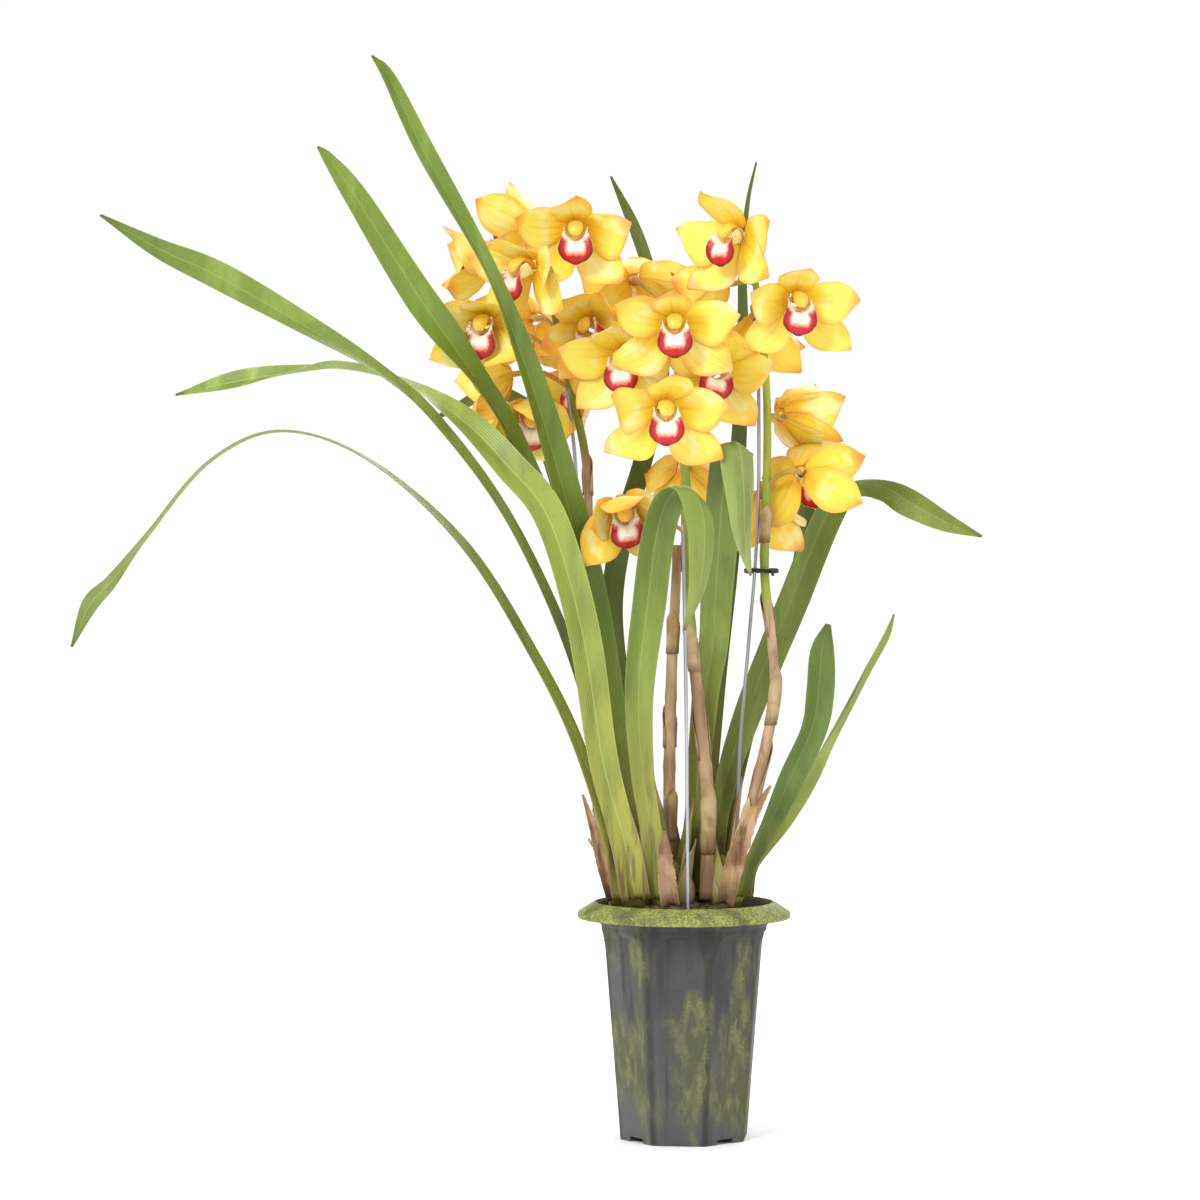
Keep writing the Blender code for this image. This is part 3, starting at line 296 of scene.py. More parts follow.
# Flowers: spike, middle of the flower in cm, then where it faces: yaw (0 to the front, + to the right),
# pitch (+ upwards) and roll (+ clockwise as one looks into it) in degrees, its form, and its tone,
# from 0 for a pale flower to 1 for an orange one.
FLOWERS = {
    "flower_left_1": ("flower_spike_left", (-9.2, -1.0, 77.0), 0, -8, 0, "open", 0.35),
    "flower_left_2": ("flower_spike_left", (-12.8, -4.5, 73.5), -45, -5, 0, "open", 0.55),
    "flower_left_3": ("flower_spike_left", (-16.6, -3.5, 68.9), -15, -10, 0, "cupped", 0.15),
    "flower_left_4": ("flower_spike_left", (-13.0, 5.0, 77.4), -130, 35, 0, "open", 0.40),
    "flower_left_5": ("flower_spike_left", (-16.0, 0.5, 74.4), -85, 10, 0, "cupped", 0.30),
    "flower_left_6": ("flower_spike_left", (-13.1, 1.0, 62.2), 5, -40, 0, "cupped", 0.45),
    "flower_left_7": ("flower_spike_left", (-14.7, 2.0, 64.9), -85, -10, 0, "cupped", 0.35),
    "flower_left_8": ("flower_spike_left", (-12.7, 5.0, 69.9), -160, 0, 0, "open", 0.85),
    "flower_center_1": ("flower_spike_center", (-1.0, -7.2, 68.5), 0, -4, 0, "open", 0.35),
    "flower_center_2": ("flower_spike_center", (-5.1, -3.2, 66.0), -10, -8, -5, "open", 0.25),
    "flower_center_3": ("flower_spike_center", (2.5, -1.5, 64.8), 8, 6, 12, "open", 0.45),
    "flower_center_4": ("flower_spike_center", (-1.9, -8.5, 61.4), 5, -8, 0, "open", 0.42),
    "flower_center_5": ("flower_spike_center", (-7.7, 0.2, 68.9), -20, -5, -35, "cupped", 0.75),
    "flower_center_6": ("flower_spike_center", (-4.2, 3.5, 73.1), 180, 0, 0, "open", 0.35),
    "flower_center_7": ("flower_spike_center", (-5.4, -3.0, 53.6), 10, -25, -10, "cupped", 0.70),
    "flower_center_8": ("flower_spike_center", (-7.8, 4.0, 64.5), -60, -10, -10, "cupped", 0.40),
    "flower_center_9": ("flower_spike_center", (0.1, 3.5, 57.1), 170, -20, 0, "cupped", 0.80),
    "flower_right_1": ("flower_spike_right", (4.6, -4.0, 76.2), -40, 0, 0, "open", 0.20),
    "flower_right_2": ("flower_spike_right", (9.3, -2.0, 70.9), 10, -8, 5, "open", 0.35),
    "flower_right_3": ("flower_spike_right", (3.8, 2.0, 72.6), -100, -10, 0, "cupped", 0.35),
    "flower_right_4": ("flower_spike_right", (6.2, 3.5, 69.9), 165, -40, 0, "cupped", 0.55),
    "flower_right_5": ("flower_spike_right", (8.3, 2.5, 61.5), 130, 10, 0, "cupped", 0.60),
    "flower_right_6": ("flower_spike_right", (9.9, 0.5, 56.5), 155, -5, 10, "open", 0.70),
    "flower_right_7": ("flower_spike_right", (6.8, 4.0, 54.7), 170, -45, 0, "cupped", 0.80),
}

# Each petal or sepal: angle round the flower, length and width in cm, and for each form how far it leans
# out of the flower's plane at its foot and at its tip, all angles in degrees.
HUB_RADIUS = 0.55
TEPALS = {
    "upper_sepal": (0, 5.2, 3.4, {"open": (46, 86), "cupped": (55, 92)}),
    "petal": (80, 5.4, 3.5, {"open": (24, 46), "cupped": (42, 72)}),
    "lower_sepal": (132, 5.7, 3.4, {"open": (6, 26), "cupped": (32, 56)}),
}
AROUND = (("lower_sepal", -1), ("petal", -1), ("upper_sepal", 1), ("petal", 1), ("lower_sepal", 1))
# The lip along its middle: share, forward, up, half width, how far its edges rise and how far they fold
# back, all but the share in cm.
LIP = (
    (0.00, 0.10, -0.55, 0.35, 0.10, 0.00), (0.16, 0.80, -0.82, 0.95, 0.80, 0.00),
    (0.32, 1.50, -0.94, 1.22, 1.20, 0.00), (0.44, 2.05, -0.98, 1.18, 0.95, 0.00),
    (0.54, 2.45, -1.12, 1.42, 0.48, 0.02), (0.64, 2.74, -1.50, 1.52, 0.15, 0.12),
    (0.78, 2.86, -2.06, 1.34, 0.00, 0.22), (0.91, 2.78, -2.58, 0.92, 0.00, 0.18),
    (1.00, 2.64, -2.86, 0.20, 0.00, 0.05),
)
# The column: forward, up, half width and half depth, in cm.
COLUMN = (
    (-0.30, -0.05, 0.30, 0.26), (0.30, 0.24, 0.44, 0.30), (0.95, 0.46, 0.50, 0.32),
    (1.55, 0.46, 0.60, 0.36), (2.05, 0.20, 0.64, 0.40), (2.36, -0.18, 0.54, 0.34),
    (2.46, -0.46, 0.30, 0.18),
)

# Support wires, from the mix up, in cm.
WIRE_RADIUS = 0.0015
WIRES = {
    "support_wire_left": [
        (-5.4, 0.3, 12.0), (-6.7, 0.3, 24.0), (-8.7, -0.4, 45.0), (-9.2, -0.4, 56.7), (-9.9, -0.4, 63.5),
    ],
    "support_wire_center": [(0.3, -3.4, 12.0), (0.1, -3.6, 36.0), (-0.2, -3.4, 52.0)],
    "support_wire_right": [
        (4.7, 1.6, 12.0), (4.7, 1.9, 30.0), (5.6, 2.2, 42.0), (6.1, 1.9, 48.0), (6.4, 1.4, 55.0),
        (6.4, 1.2, 64.5),
    ],
}

# Twist ties: middle of the ring in cm, then its half widths across and in depth.
TIES = {
    "twist_tie_right": ((6.65, 1.6, 48.1), 1.45, 1.25),
    "twist_tie_left": ((-8.6, 0.1, 52.0), 1.35, 1.35),
}
TIE_RADIUS = 0.0009
TIE_END_RADIUS = 0.0006

# The studio: lamps by place, size and power, and the camera, level and looking along +Y.
LAMPS = {
    "key": ((-1.6, -2.4, 2.4), 1.2, 64),
    "fill": ((2.2, -2.0, 1.2), 1.8, 10),
    "back": ((0.6, 2.4, 2.2), 1.6, 30),
}
LAMP_TARGET = (-0.05, 0, 0.45)
WORLD_STRENGTH = 1.03
FLOOR_HALF_WIDTH = 9
FLOOR_COLOUR = (0.97, 0.97, 0.97, 1)
CAMERA_PLACE = (-0.0714, -2.805, 0.456)
CAMERA_LENS = 99
CAMERA_SENSOR = 36


# ---------------------------------------------------------------- meshes

def circle(count):
    """Angles spread evenly round a full turn."""
    return np.linspace(0, 2 * math.pi, count, endpoint=False)


def mirrored(*shares):
    """Places across a blade from -1 to 1, from the ones on its right half."""
    return np.array([-share for share in reversed(shares)] + [0] + list(shares))


def marked(points, along=0.0, across=0.0, tone=0.0):
    """A row of marks for each point in a grid."""
    marks = np.zeros(points.shape)
    for k, value in enumerate((along, across, tone)):
        marks[..., k] = value
    return marks


def new_object(name, data):
    """An object linked into the scene."""
    made = bpy.data.objects.new(name, data)
    bpy.context.scene.collection.objects.link(made)
    return made


class Builder:
    """Collects parts of one piece: their places, faces, looks and marks (along, across, tone)."""

    def __init__(self):
        self.points = []
        self.faces = []
        self.looks = []
        self.marks = []
        self.count = 0

    def add(self, points, faces, look, marks):
        """Add a part. Its faces count from its own first point, and its marks are one row per point."""
        points = np.asarray(points, float).reshape(-1, 3)
        self.points.append(points)
        self.marks.append(np.asarray(marks, float).reshape(-1, 3))
        self.faces += [tuple(self.count + k for k in face) for face in faces]
        self.looks += [look] * len(faces) if isinstance(look, int) else list(look)
        self.count += len(points)

    def mesh(self, name, looks, outward=False, sharp=None):
        """The finished mesh, smooth shaded, with its marks as attributes."""
        mesh = bpy.data.meshes.new(name)
        mesh.from_pydata(np.concatenate(self.points).tolist(), [], self.faces)
        for look in looks:
            mesh.materials.append(LOOKS[look])
        mesh.polygons.foreach_set("material_index", self.looks)
        marks = np.concatenate(self.marks)
        for k, key in enumerate(("along", "across", "tone")):
            layer = mesh.attributes.new(key, "FLOAT", "POINT")
            layer.data.foreach_set("value", marks[:, k].astype(np.float32))
        mesh.shade_smooth()
        if sharp:
            mesh.set_sharp_from_angle(angle=math.radians(sharp))
        mesh.update()
        if outward:
            turn_outward(mesh)
        return mesh


def turn_outward(mesh):
    """Turn every face of a closed mesh outward."""
    bm = bmesh.new()
    bm.from_mesh(mesh)
    bmesh.ops.recalc_face_normals(bm, faces=bm.faces)
    bm.to_mesh(mesh)
    bm.free()


def place(mesh, nodes=()):
    """A piece of the object that rides on the frame's one body and stands for the nodes named."""
    piece = new_object(mesh.name, mesh)
    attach(piece, "root")
    if nodes:
        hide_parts(*nodes)


def sheet(builder, points, thickness, front, back, marks):
    """A thin closed plate: the grid of points [along, across] thickened evenly to both sides."""
    rows, columns = points.shape[:2]
    normal = np.cross(np.gradient(points, axis=0), np.gradient(points, axis=1))
    normal /= np.maximum(np.linalg.norm(normal, axis=2, keepdims=True), 1e-12)
    half = normal * (np.broadcast_to(thickness, (rows, columns))[..., None] / 2)
    both = np.concatenate([(points + half).reshape(-1, 3), (points - half).reshape(-1, 3)])
    index = np.arange(rows * columns).reshape(rows, columns)
    under = index + rows * columns
    upper = np.stack([index[:-1, :-1], index[1:, :-1], index[1:, 1:], index[:-1, 1:]], -1).reshape(-1, 4)
    lower = np.stack([under[:-1, :-1], under[:-1, 1:], under[1:, 1:], under[1:, :-1]], -1).reshape(-1, 4)
    loop = list(index[:, 0]) + list(index[-1, 1:]) + list(index[-2::-1, -1]) + list(index[0, -2:0:-1])
    rim = [(b, a, a + rows * columns, b + rows * columns) for a, b in zip(loop, loop[1:] + loop[:1])]
    faces = upper.tolist() + lower.tolist() + rim
    looks = [front] * len(upper) + [back] * (len(lower) + len(rim))
    builder.add(both, faces, looks, np.concatenate([marks.reshape(-1, 3)] * 2))


def rings(builder, loops, look, marks):
    """A closed solid through loops of points [ring, around], with a fan of faces over each end."""
    count, sides = loops.shape[:2]
    index = np.arange(count * sides).reshape(count, sides)
    turned = np.roll(index, -1, axis=1)
    faces = np.stack([index[:-1], turned[:-1], turned[1:], index[1:]], -1).reshape(-1, 4).tolist()
    first = count * sides
    faces += [(first, turned[0, k], index[0, k]) for k in range(sides)]
    faces += [(first + 1, index[-1, k], turned[-1, k]) for k in range(sides)]
    points, marks = (
        np.concatenate([rows.reshape(-1, 3), rows[:1].mean(axis=1), rows[-1:].mean(axis=1)])
        for rows in (loops, marks)
    )
    builder.add(points, faces, look, marks)


def smooth_path(points, count):
    """Rows evenly spread in parameter along a Catmull-Rom curve through rows of numbers."""
    rows = np.asarray(points, float)
    rows = np.concatenate([[rows[0] * 2 - rows[1]], rows, [rows[-1] * 2 - rows[-2]]])
    spans = len(rows) - 3
    s = np.linspace(0, spans, count)
    k = np.minimum(s.astype(int), spans - 1)
    t = (s - k)[:, None]
    a, b, c, d = (rows[k + i] for i in range(4))
    bend = (2 * a - 5 * b + 4 * c - d) * t ** 2 + (3 * b - a - 3 * c + d) * t ** 3
    return (2 * b + (c - a) * t + bend) / 2


def directions(path):
    """The direction of a path at each of its rows."""
    slope = np.gradient(path, axis=0)
    return slope / np.linalg.norm(slope, axis=1, keepdims=True)


def carried_frames(path, start=(0, -1, 0)):
    """Tangents, and face directions carried along the path without spinning about it."""
    tangents = directions(path)
    face = Vector(start)
    faces = []
    for i, row in enumerate(tangents):
        tangent = Vector(row)
        if i:
            face = Vector(tangents[i - 1]).rotation_difference(tangent) @ face
        face = (face - tangent * face.dot(tangent)).normalized()
        faces.append(face)
    return tangents, np.array(faces)


def tube(builder, path, radii, sides, look=0, tone=0.0, start=(0, -1, 0)):
    """A round stem along a path, in metres, marked from 0 at its foot to 1 at its tip."""
    path = np.asarray(path, float)
    radii = np.broadcast_to(np.asarray(radii, float), (len(path),))
    tangents, faces = carried_frames(path, start)
    side = np.cross(tangents, faces)
    angle = circle(sides)
    loops = path[:, None] + radii[:, None, None] * (
        np.cos(angle)[None, :, None] * side[:, None] + np.sin(angle)[None, :, None] * faces[:, None]
    )
    along = np.linspace(0, 1, len(path))[:, None]
    rings(builder, loops, look, marked(loops, along, np.cos(angle)[None], tone))


# ---------------------------------------------------------------- materials

class Look:
    """A material with its Principled shader, its body colour so far, and short ways to make its nodes."""

    def __init__(self, name, roughness=0.5, **sockets):
        self.material = bpy.data.materials.new(name)
        self.material.use_nodes = True
        self.tree = self.material.node_tree
        self.shader = self.tree.nodes["Principled BSDF"]
        self.shader.inputs["Roughness"].default_value = roughness
        for key, value in sockets.items():
            self.shader.inputs[key.replace("_", " ")].default_value = value
        self.body = None

    def node(self, kind, **settings):
        made = self.tree.nodes.new(kind)
        for key, value in settings.items():
            setattr(made, key, value)
        return made

    def feed(self, socket, value):
        """Link an output to a socket, or set the socket to a number or colour."""
        if isinstance(value, bpy.types.NodeSocket):
            self.tree.links.new(value, socket)
        elif isinstance(value, tuple) and len(value) == 3 and len(socket.default_value) == 4:
            socket.default_value = (*value, 1)
        else:
            socket.default_value = value

    def mark(self, name):
        return self.node("ShaderNodeAttribute", attribute_name=name).outputs["Fac"]

    def where(self):
        return self.node("ShaderNodeTexCoord").outputs["Object"]

    def math(self, operation, *values, clamp=False):
        made = self.node("ShaderNodeMath", operation=operation, use_clamp=clamp)
        for socket, value in zip(made.inputs, values):
            self.feed(socket, value)
        return made.outputs[0]

    def times(self, a, b):
        return self.math("MULTIPLY", a, b)

    def more(self, value, other, amount=1.0):
        """The value with an amount of another added."""
        return self.math("MULTIPLY_ADD", other, amount, value)

    def swayed(self, value, noise, amount):
        """The value moved up or down by noise."""
        return self.more(value, self.math("SUBTRACT", noise, 0.5), amount)

    def span(self, value, low, high, out_low=0.0, out_high=1.0):
        """A smooth step of the value from low to high."""
        made = self.node("ShaderNodeMapRange", interpolation_type="SMOOTHSTEP")
        self.feed(made.inputs["Value"], value)
        limits = {"From Min": low, "From Max": high, "To Min": out_low, "To Max": out_high}
        for key, number in limits.items():
            made.inputs[key].default_value = number
        return made.outputs["Result"]

    def band(self, value, middle, reach, soft=0.0005):
        """1 within reach of the middle and 0 beyond, with a soft border."""
        off = self.math("ABSOLUTE", self.math("SUBTRACT", value, middle))
        return self.span(off, reach + soft, reach - soft)

    def ellipse(self, x, z, spot, level, wide, tall):
        """1 within an ellipse about a spot, fading to 0 at its border."""
        across = self.math("DIVIDE", self.math("SUBTRACT", x, spot), wide)
        upright = self.math("DIVIDE", self.math("SUBTRACT", z, level), tall)
        return self.span(self.math("MULTIPLY_ADD", across, across, self.times(upright, upright)), 1.25, 0.0)

    def noise(self, scale, detail=3.0, upright=1.0, distortion=0.0):
        """Noise with so many features per metre, and the share of that upwards."""
        mapping = self.node("ShaderNodeMapping")
        self.feed(mapping.inputs["Vector"], self.where())
        mapping.inputs["Scale"].default_value = (1, 1, upright)
        made = self.node("ShaderNodeTexNoise")
        self.feed(made.inputs["Vector"], mapping.outputs[0])
        for key, value in {"Scale": scale, "Detail": detail, "Distortion": distortion}.items():
            made.inputs[key].default_value = value
        return made.outputs["Fac"]

    def veins(self, across, count, noise, sway):
        """Fine lines that run along a blade, from 0 to 1, swayed by noise."""
        wobble = self.more(self.times(across, count), noise, sway)
        return self.math("MULTIPLY_ADD", self.math("SINE", wobble), 0.5, 0.5)

    def mix(self, share, a, b):
        made = self.node("ShaderNodeMix", data_type="RGBA", clamp_factor=True)
        for socket, value in ((0, share), (6, a), (7, b)):
            self.feed(made.inputs[socket], value)
        return made.outputs[2]

    def ramp(self, value, stops):
        """A colour ramp through (position, colour) stops."""
        made = self.node("ShaderNodeValToRGB")
        self.feed(made.inputs[0], value)
        elements = made.color_ramp.elements
        while len(elements) < len(stops):
            elements.new(0.5)
        for element, (position, colour) in zip(elements, stops):
            element.position = position
            element.color = (*colour, 1)
        return made.outputs["Color"]

    def coat(self, share, colour):
        """Lay a colour over the body."""
        self.body = self.mix(share, self.body, colour)

    def tint(self, value, low, high, most, colour, within=None):
        """Lay a colour over the body, from none where the value is low to the most where it is high."""
        share = self.span(value, low, high, 0, most)
        self.coat(share if within is None else self.times(share, within), colour)

    def rough(self, value, low, high):
        """Roughness that follows a noise."""
        self.feed(self.shader.inputs["Roughness"], self.span(value, 0.3, 0.7, low, high))

    def finished(self, height, distance):
        """The material, with its body colour and relief as deep as the distance in metres."""
        self.feed(self.shader.inputs["Base Color"], self.body)
        made = self.node("ShaderNodeBump")
        self.feed(made.inputs["Height"], height)
        made.inputs["Distance"].default_value = distance
        made.inputs["Strength"].default_value = 1.0
        self.tree.links.new(made.outputs[0], self.shader.inputs["Normal"])
        return self.material


def leaf_look(name, base, middle, tip):
    """A strap leaf: parallel veins, a pale midrib, mottling along the blade and a dry point."""
    look = Look(name, Specular_IOR_Level=0.45)
    along = look.mark("along")
    across = look.mark("across")
    off = look.math("ABSOLUTE", across)
    streaks = look.noise(38, 4, 0.16)
    flecks = look.noise(210, 3, 0.4)
    fibres = look.noise(150, 4, 0.08)
    shifted = look.swayed(along, look.noise(9, 2, 0.5), 0.25)
    vein = look.veins(across, 44.0, streaks, 2.2)
    foot = tuple(c * 1.05 for c in base)
    light = tuple(min(c * 1.45 + 0.03, 1) for c in middle)
    dark = tuple(c * 0.55 for c in middle)
    look.body = look.ramp(shifted, ((0.0, foot), (0.13, base), (0.34, middle), (0.72, middle), (0.95, tip)))
    look.tint(streaks, 0.52, 0.72, 0.60, light)
    look.tint(streaks, 0.48, 0.28, 0.65, dark)
    look.tint(flecks, 0.60, 0.74, 0.28, dark)
    look.coat(look.times(vein, 0.11), dark)
    look.tint(off, 0.085, 0.02, 0.45, light)
    look.tint(off, 0.90, 1.0, 0.30, light)
    look.tint(along, 0.980, 0.999, 0.80, (0.22, 0.12, 0.05))
    look.tint(shifted, 0.24, 0.04, 0.75, (0.110, 0.062, 0.026), look.span(fibres, 0.44, 0.62))
    look.tint(shifted, 0.16, 0.02, 0.8, (0.240, 0.150, 0.075), look.span(off, 0.70, 1.0))
    look.rough(streaks, 0.36, 0.52)
    return look.finished(look.more(vein, look.span(off, 0.0, 0.07), 1.6), 0.00014)


def paper_look(name, pale, brown, dark):
    """A dry papery sheath: long fibres, frayed and darker toward its foot."""
    look = Look(name, roughness=0.85, Specular_IOR_Level=0.2)
    fibres = look.noise(160, 4, 0.10)
    look.body = look.mix(look.span(look.noise(45), 0.35, 0.65), brown, pale)
    look.tint(fibres, 0.52, 0.72, 0.75, dark)
    look.tint(look.mark("along"), 0.25, 0.0, 0.7, dark)
    return look.finished(fibres, 0.0007)


def tepal_look(name, warmth):
    """A waxy petal: lemon with paler areas, faint veins, a deeper foot and a blush at its edges and tip."""
    look = Look(
        name, roughness=0.45, Specular_IOR_Level=0.30,
        Subsurface_Weight=0.22, Subsurface_Radius=(0.004, 0.003, 0.001), Subsurface_Scale=1.0,
    )
    along = look.mark("along")
    across = look.mark("across")
    off = look.math("ABSOLUTE", across)
    mottle = look.noise(55)
    broad = look.noise(22, 2)
    shifted = look.swayed(along, broad, 0.7)
    pale = look.ramp(shifted, (
        (0.0, (0.87, 0.54, 0.020)), (0.22, (0.89, 0.66, 0.045)), (0.50, (0.89, 0.74, 0.15)),
        (0.80, (0.90, 0.72, 0.13)), (1.0, (0.88, 0.56, 0.06)),
    ))
    warm = look.ramp(shifted, (
        (0.0, (0.80, 0.34, 0.020)), (0.22, (0.88, 0.53, 0.035)), (0.55, (0.91, 0.62, 0.06)),
        (0.85, (0.87, 0.46, 0.04)), (1.0, (0.76, 0.27, 0.03)),
    ))
    look.body = look.mix(look.math("MULTIPLY_ADD", look.mark("tone"), 0.85, warmth, clamp=True), pale, warm)
    look.tint(look.noise(38, 2), 0.50, 0.64, 0.80, (0.83, 0.79, 0.33), look.span(along, 0.18, 0.40))
    blush = look.more(look.times(mottle, 0.15), broad, 0.55)
    look.tint(look.more(blush, off), 1.02, 1.42, 0.62, (0.80, 0.30, 0.07))
    look.tint(look.more(blush, along), 1.10, 1.45, 0.70, (0.76, 0.24, 0.06))
    vein = look.math("POWER", look.veins(across, 17.0, mottle, 1.6), 4.0)
    look.tint(along, 0.90, 0.25, 0.11, (0.80, 0.40, 0.04), vein)
    look.tint(off, 0.12, 0.0, 0.40, (0.80, 0.40, 0.03), look.span(along, 0.7, 0.1))
    return look.finished(look.more(vein, mottle, 0.9), 0.00020)


def lip_look():
    """The lip: cream, with a deep red band inside its front margin and small red dots on its side lobes."""
    look = Look(
        "lip", roughness=0.38, Specular_IOR_Level=0.4,
        Subsurface_Weight=0.2, Subsurface_Radius=(0.004, 0.002, 0.002), Subsurface_Scale=1.0,
    )
    along = look.mark("along")
    off = look.math("ABSOLUTE", look.mark("across"))
    ragged = look.noise(420, 2)
    margin = look.swayed(look.mark("tone"), ragged, 0.20)
    look.body = look.ramp(along, (
        (0.0, (0.90, 0.68, 0.22)), (0.30, (0.95, 0.86, 0.55)), (0.55, (0.96, 0.90, 0.76)),
        (1.0, (0.95, 0.84, 0.70)),
    ))
    front = look.span(along, 0.47, 0.56)
    look.tint(margin, 0.95, 0.62, 0.85, (0.85, 0.17, 0.10), front)
    look.tint(margin, 0.70, 0.52, 1.0, (0.46, 0.012, 0.014), front)
    look.tint(margin, 0.40, 0.16, 1.0, (0.23, 0.006, 0.010), front)
    look.tint(margin, 0.06, 0.0, 0.7, (0.80, 0.30, 0.10), front)
    cells = look.node("ShaderNodeTexVoronoi", feature="F1")
    look.feed(cells.inputs["Vector"], look.where())
    cells.inputs["Scale"].default_value = 330
    lobes = look.times(look.span(along, 0.60, 0.50), look.span(along, 0.25, 0.36))
    lobes = look.times(look.span(off, 0.45, 0.75), lobes)
    look.tint(cells.outputs["Distance"], 0.30, 0.20, 0.9, (0.30, 0.02, 0.02), lobes)
    look.tint(off, 0.10, 0.03, 0.6, (0.93, 0.70, 0.25), look.span(along, 0.8, 0.5))
    return look.finished(ragged, 0.0002)


def column_look():
    """The column: yellow at its foot and back, darker orange underneath as painted shade, and warm orange
    at its cap.
    """
    look = Look(
        "column", roughness=0.4,
        Subsurface_Weight=0.2, Subsurface_Radius=(0.004, 0.002, 0.001), Subsurface_Scale=1.0,
    )
    along = look.mark("along")
    grain = look.noise(300, 2)
    top = look.ramp(along, (
        (0.0, (0.80, 0.50, 0.05)), (0.55, (0.90, 0.58, 0.08)), (0.80, (0.90, 0.52, 0.06)),
        (1.0, (0.90, 0.50, 0.06)),
    ))
    # Painted shade: the underside of the column is given a darker orange than its top.
    shaded_underside = look.ramp(along, (
        (0.0, (0.80, 0.40, 0.03)), (0.55, (0.80, 0.28, 0.02)), (0.86, (0.78, 0.22, 0.015)),
        (1.0, (0.86, 0.36, 0.03)),
    ))
    look.body = look.mix(look.span(look.mark("across"), -0.1, 0.5), top, shaded_underside)
    look.tint(grain, 0.55, 0.75, 0.4, (0.62, 0.16, 0.02))
    return look.finished(grain, 0.0002)


def stem_look(name, brown_to, green):
    """A flower spike: brown and fibrous up to a share of its length, green and waxy above it."""
    look = Look(name, Specular_IOR_Level=0.4)
    fibres = look.noise(190, 4, 0.08)
    blotch = look.noise(40, 3, 0.5)
    patchy = look.span(blotch, 0.35, 0.65)
    wax = look.mix(look.span(blotch, 0.35, 0.7), green, tuple(c * 1.5 for c in green))
    look.body = look.mix(patchy, (0.29, 0.175, 0.090), (0.53, 0.365, 0.205))
    look.tint(fibres, 0.52, 0.72, 0.6, (0.14, 0.080, 0.038))
    edge = look.swayed(look.mark("along"), blotch, 0.12)
    look.coat(look.span(edge, brown_to - 0.03, brown_to + 0.03), wax)
    stalk = look.mix(look.span(blotch, 0.3, 0.7), (0.44, 0.34, 0.06), (0.52, 0.24, 0.06))
    look.coat(look.mark("tone"), stalk)
    look.rough(fibres, 0.45, 0.65)
    return look.finished(fibres, 0.0005)


def pot_look():
    """Weathered grey plastic: dusty and streaked, with algae on its panels and thick on its rim; painted
    light down its left side, and painted shade in the creases round its panels and inside its mouth.
    """
    look = Look("pot_plastic", Specular_IOR_Level=0.35)
    split = look.node("ShaderNodeSeparateXYZ")
    look.feed(split.inputs[0], look.where())
    x, y, height = split.outputs
    radius = look.math("SQRT", look.math("MULTIPLY_ADD", x, x, look.times(y, y)))
    front = look.span(y, 0.02, 0.0)
    dust = look.noise(26, 5, 0.55)
    drips = look.noise(75, 5, 0.06)
    patches = look.noise(30, 5, 0.45, distortion=0.6)
    fine = look.noise(420)
    speckle = look.noise(900, 2)
    look.body = look.mix(look.span(dust, 0.32, 0.68), (0.034, 0.034, 0.037), (0.064, 0.064, 0.064))
    look.tint(height, 0.12, 0.01, 0.50, (0.098, 0.102, 0.092))
    # Painted light: the pot's left side, toward the key lamp, is painted lighter.
    look.tint(x, -0.015, -0.055, 0.40, (0.130, 0.132, 0.125))
    look.tint(drips, 0.54, 0.70, 0.30, (0.120, 0.121, 0.100))
    look.tint(drips, 0.47, 0.33, 0.62, (0.022, 0.022, 0.022))
    look.tint(speckle, 0.58, 0.72, 0.45, (0.022, 0.021, 0.018))
    # Painted shade: near-black along the borders of the pressed-in panels and along their top edges, in the
    # creases.
    ridge = look.more(look.mark("across"), look.span(height, 0.150, 0.178, 0.0, 0.30))
    look.tint(ridge, 0.76, 0.98, 0.80, (0.022, 0.022, 0.020))

    cover = look.span(height, 0.150, 0.020, 0.0, 0.10)
    for patch in ALGAE:
        near = look.times(look.ellipse(x, height, *patch), look.times(front, 0.24))
        cover = look.math("MAXIMUM", cover, near)
    streaked = look.swayed(look.more(patches, cover), drips, 0.45)
    green = look.times(look.span(streaked, 0.50, 0.82), look.span(fine, 0.34, 0.60, 0.50, 0.90))
    shades = look.span(look.noise(140, 4, 0.35), 0.40, 0.62)
    look.coat(green, look.mix(shades, (0.078, 0.083, 0.034), (0.160, 0.165, 0.062)))
    spot, level, half_width, half_height = LABEL
    ghost = look.times(look.band(x, spot, half_width), look.band(height, level, half_height))
    ghost = look.times(look.times(ghost, front), look.span(dust, 0.2, 0.6, 0.6, 0.35))
    look.coat(ghost, (0.040, 0.038, 0.036))

    painted = look.body
    look.body = look.mix(look.span(fine, 0.38, 0.62), (0.165, 0.190, 0.038), (0.310, 0.345, 0.088))
    look.tint(patches, 0.52, 0.64, 0.70, (0.075, 0.085, 0.022))
    look.tint(look.noise(60), 0.52, 0.66, 0.55, (0.100, 0.095, 0.035))
    look.tint(speckle, 0.57, 0.66, 0.85, (0.030, 0.035, 0.014))
    rim = look.span(height, 0.1842, 0.1865)
    crusted = look.times(rim, look.span(dust, 0.22, 0.44, 0.55, 1.0))
    look.body = look.mix(crusted, painted, look.body)
    # Painted shade: inside the mouth the wall is painted dark olive over the algae crust, as shade inside
    # the pot.
    look.tint(radius, 0.0750, 0.0740, 0.9, (0.050, 0.050, 0.026), rim)
    look.rough(dust, 0.50, 0.74)
    return look.finished(look.more(look.times(crusted, fine), fine, 0.5), 0.00030)


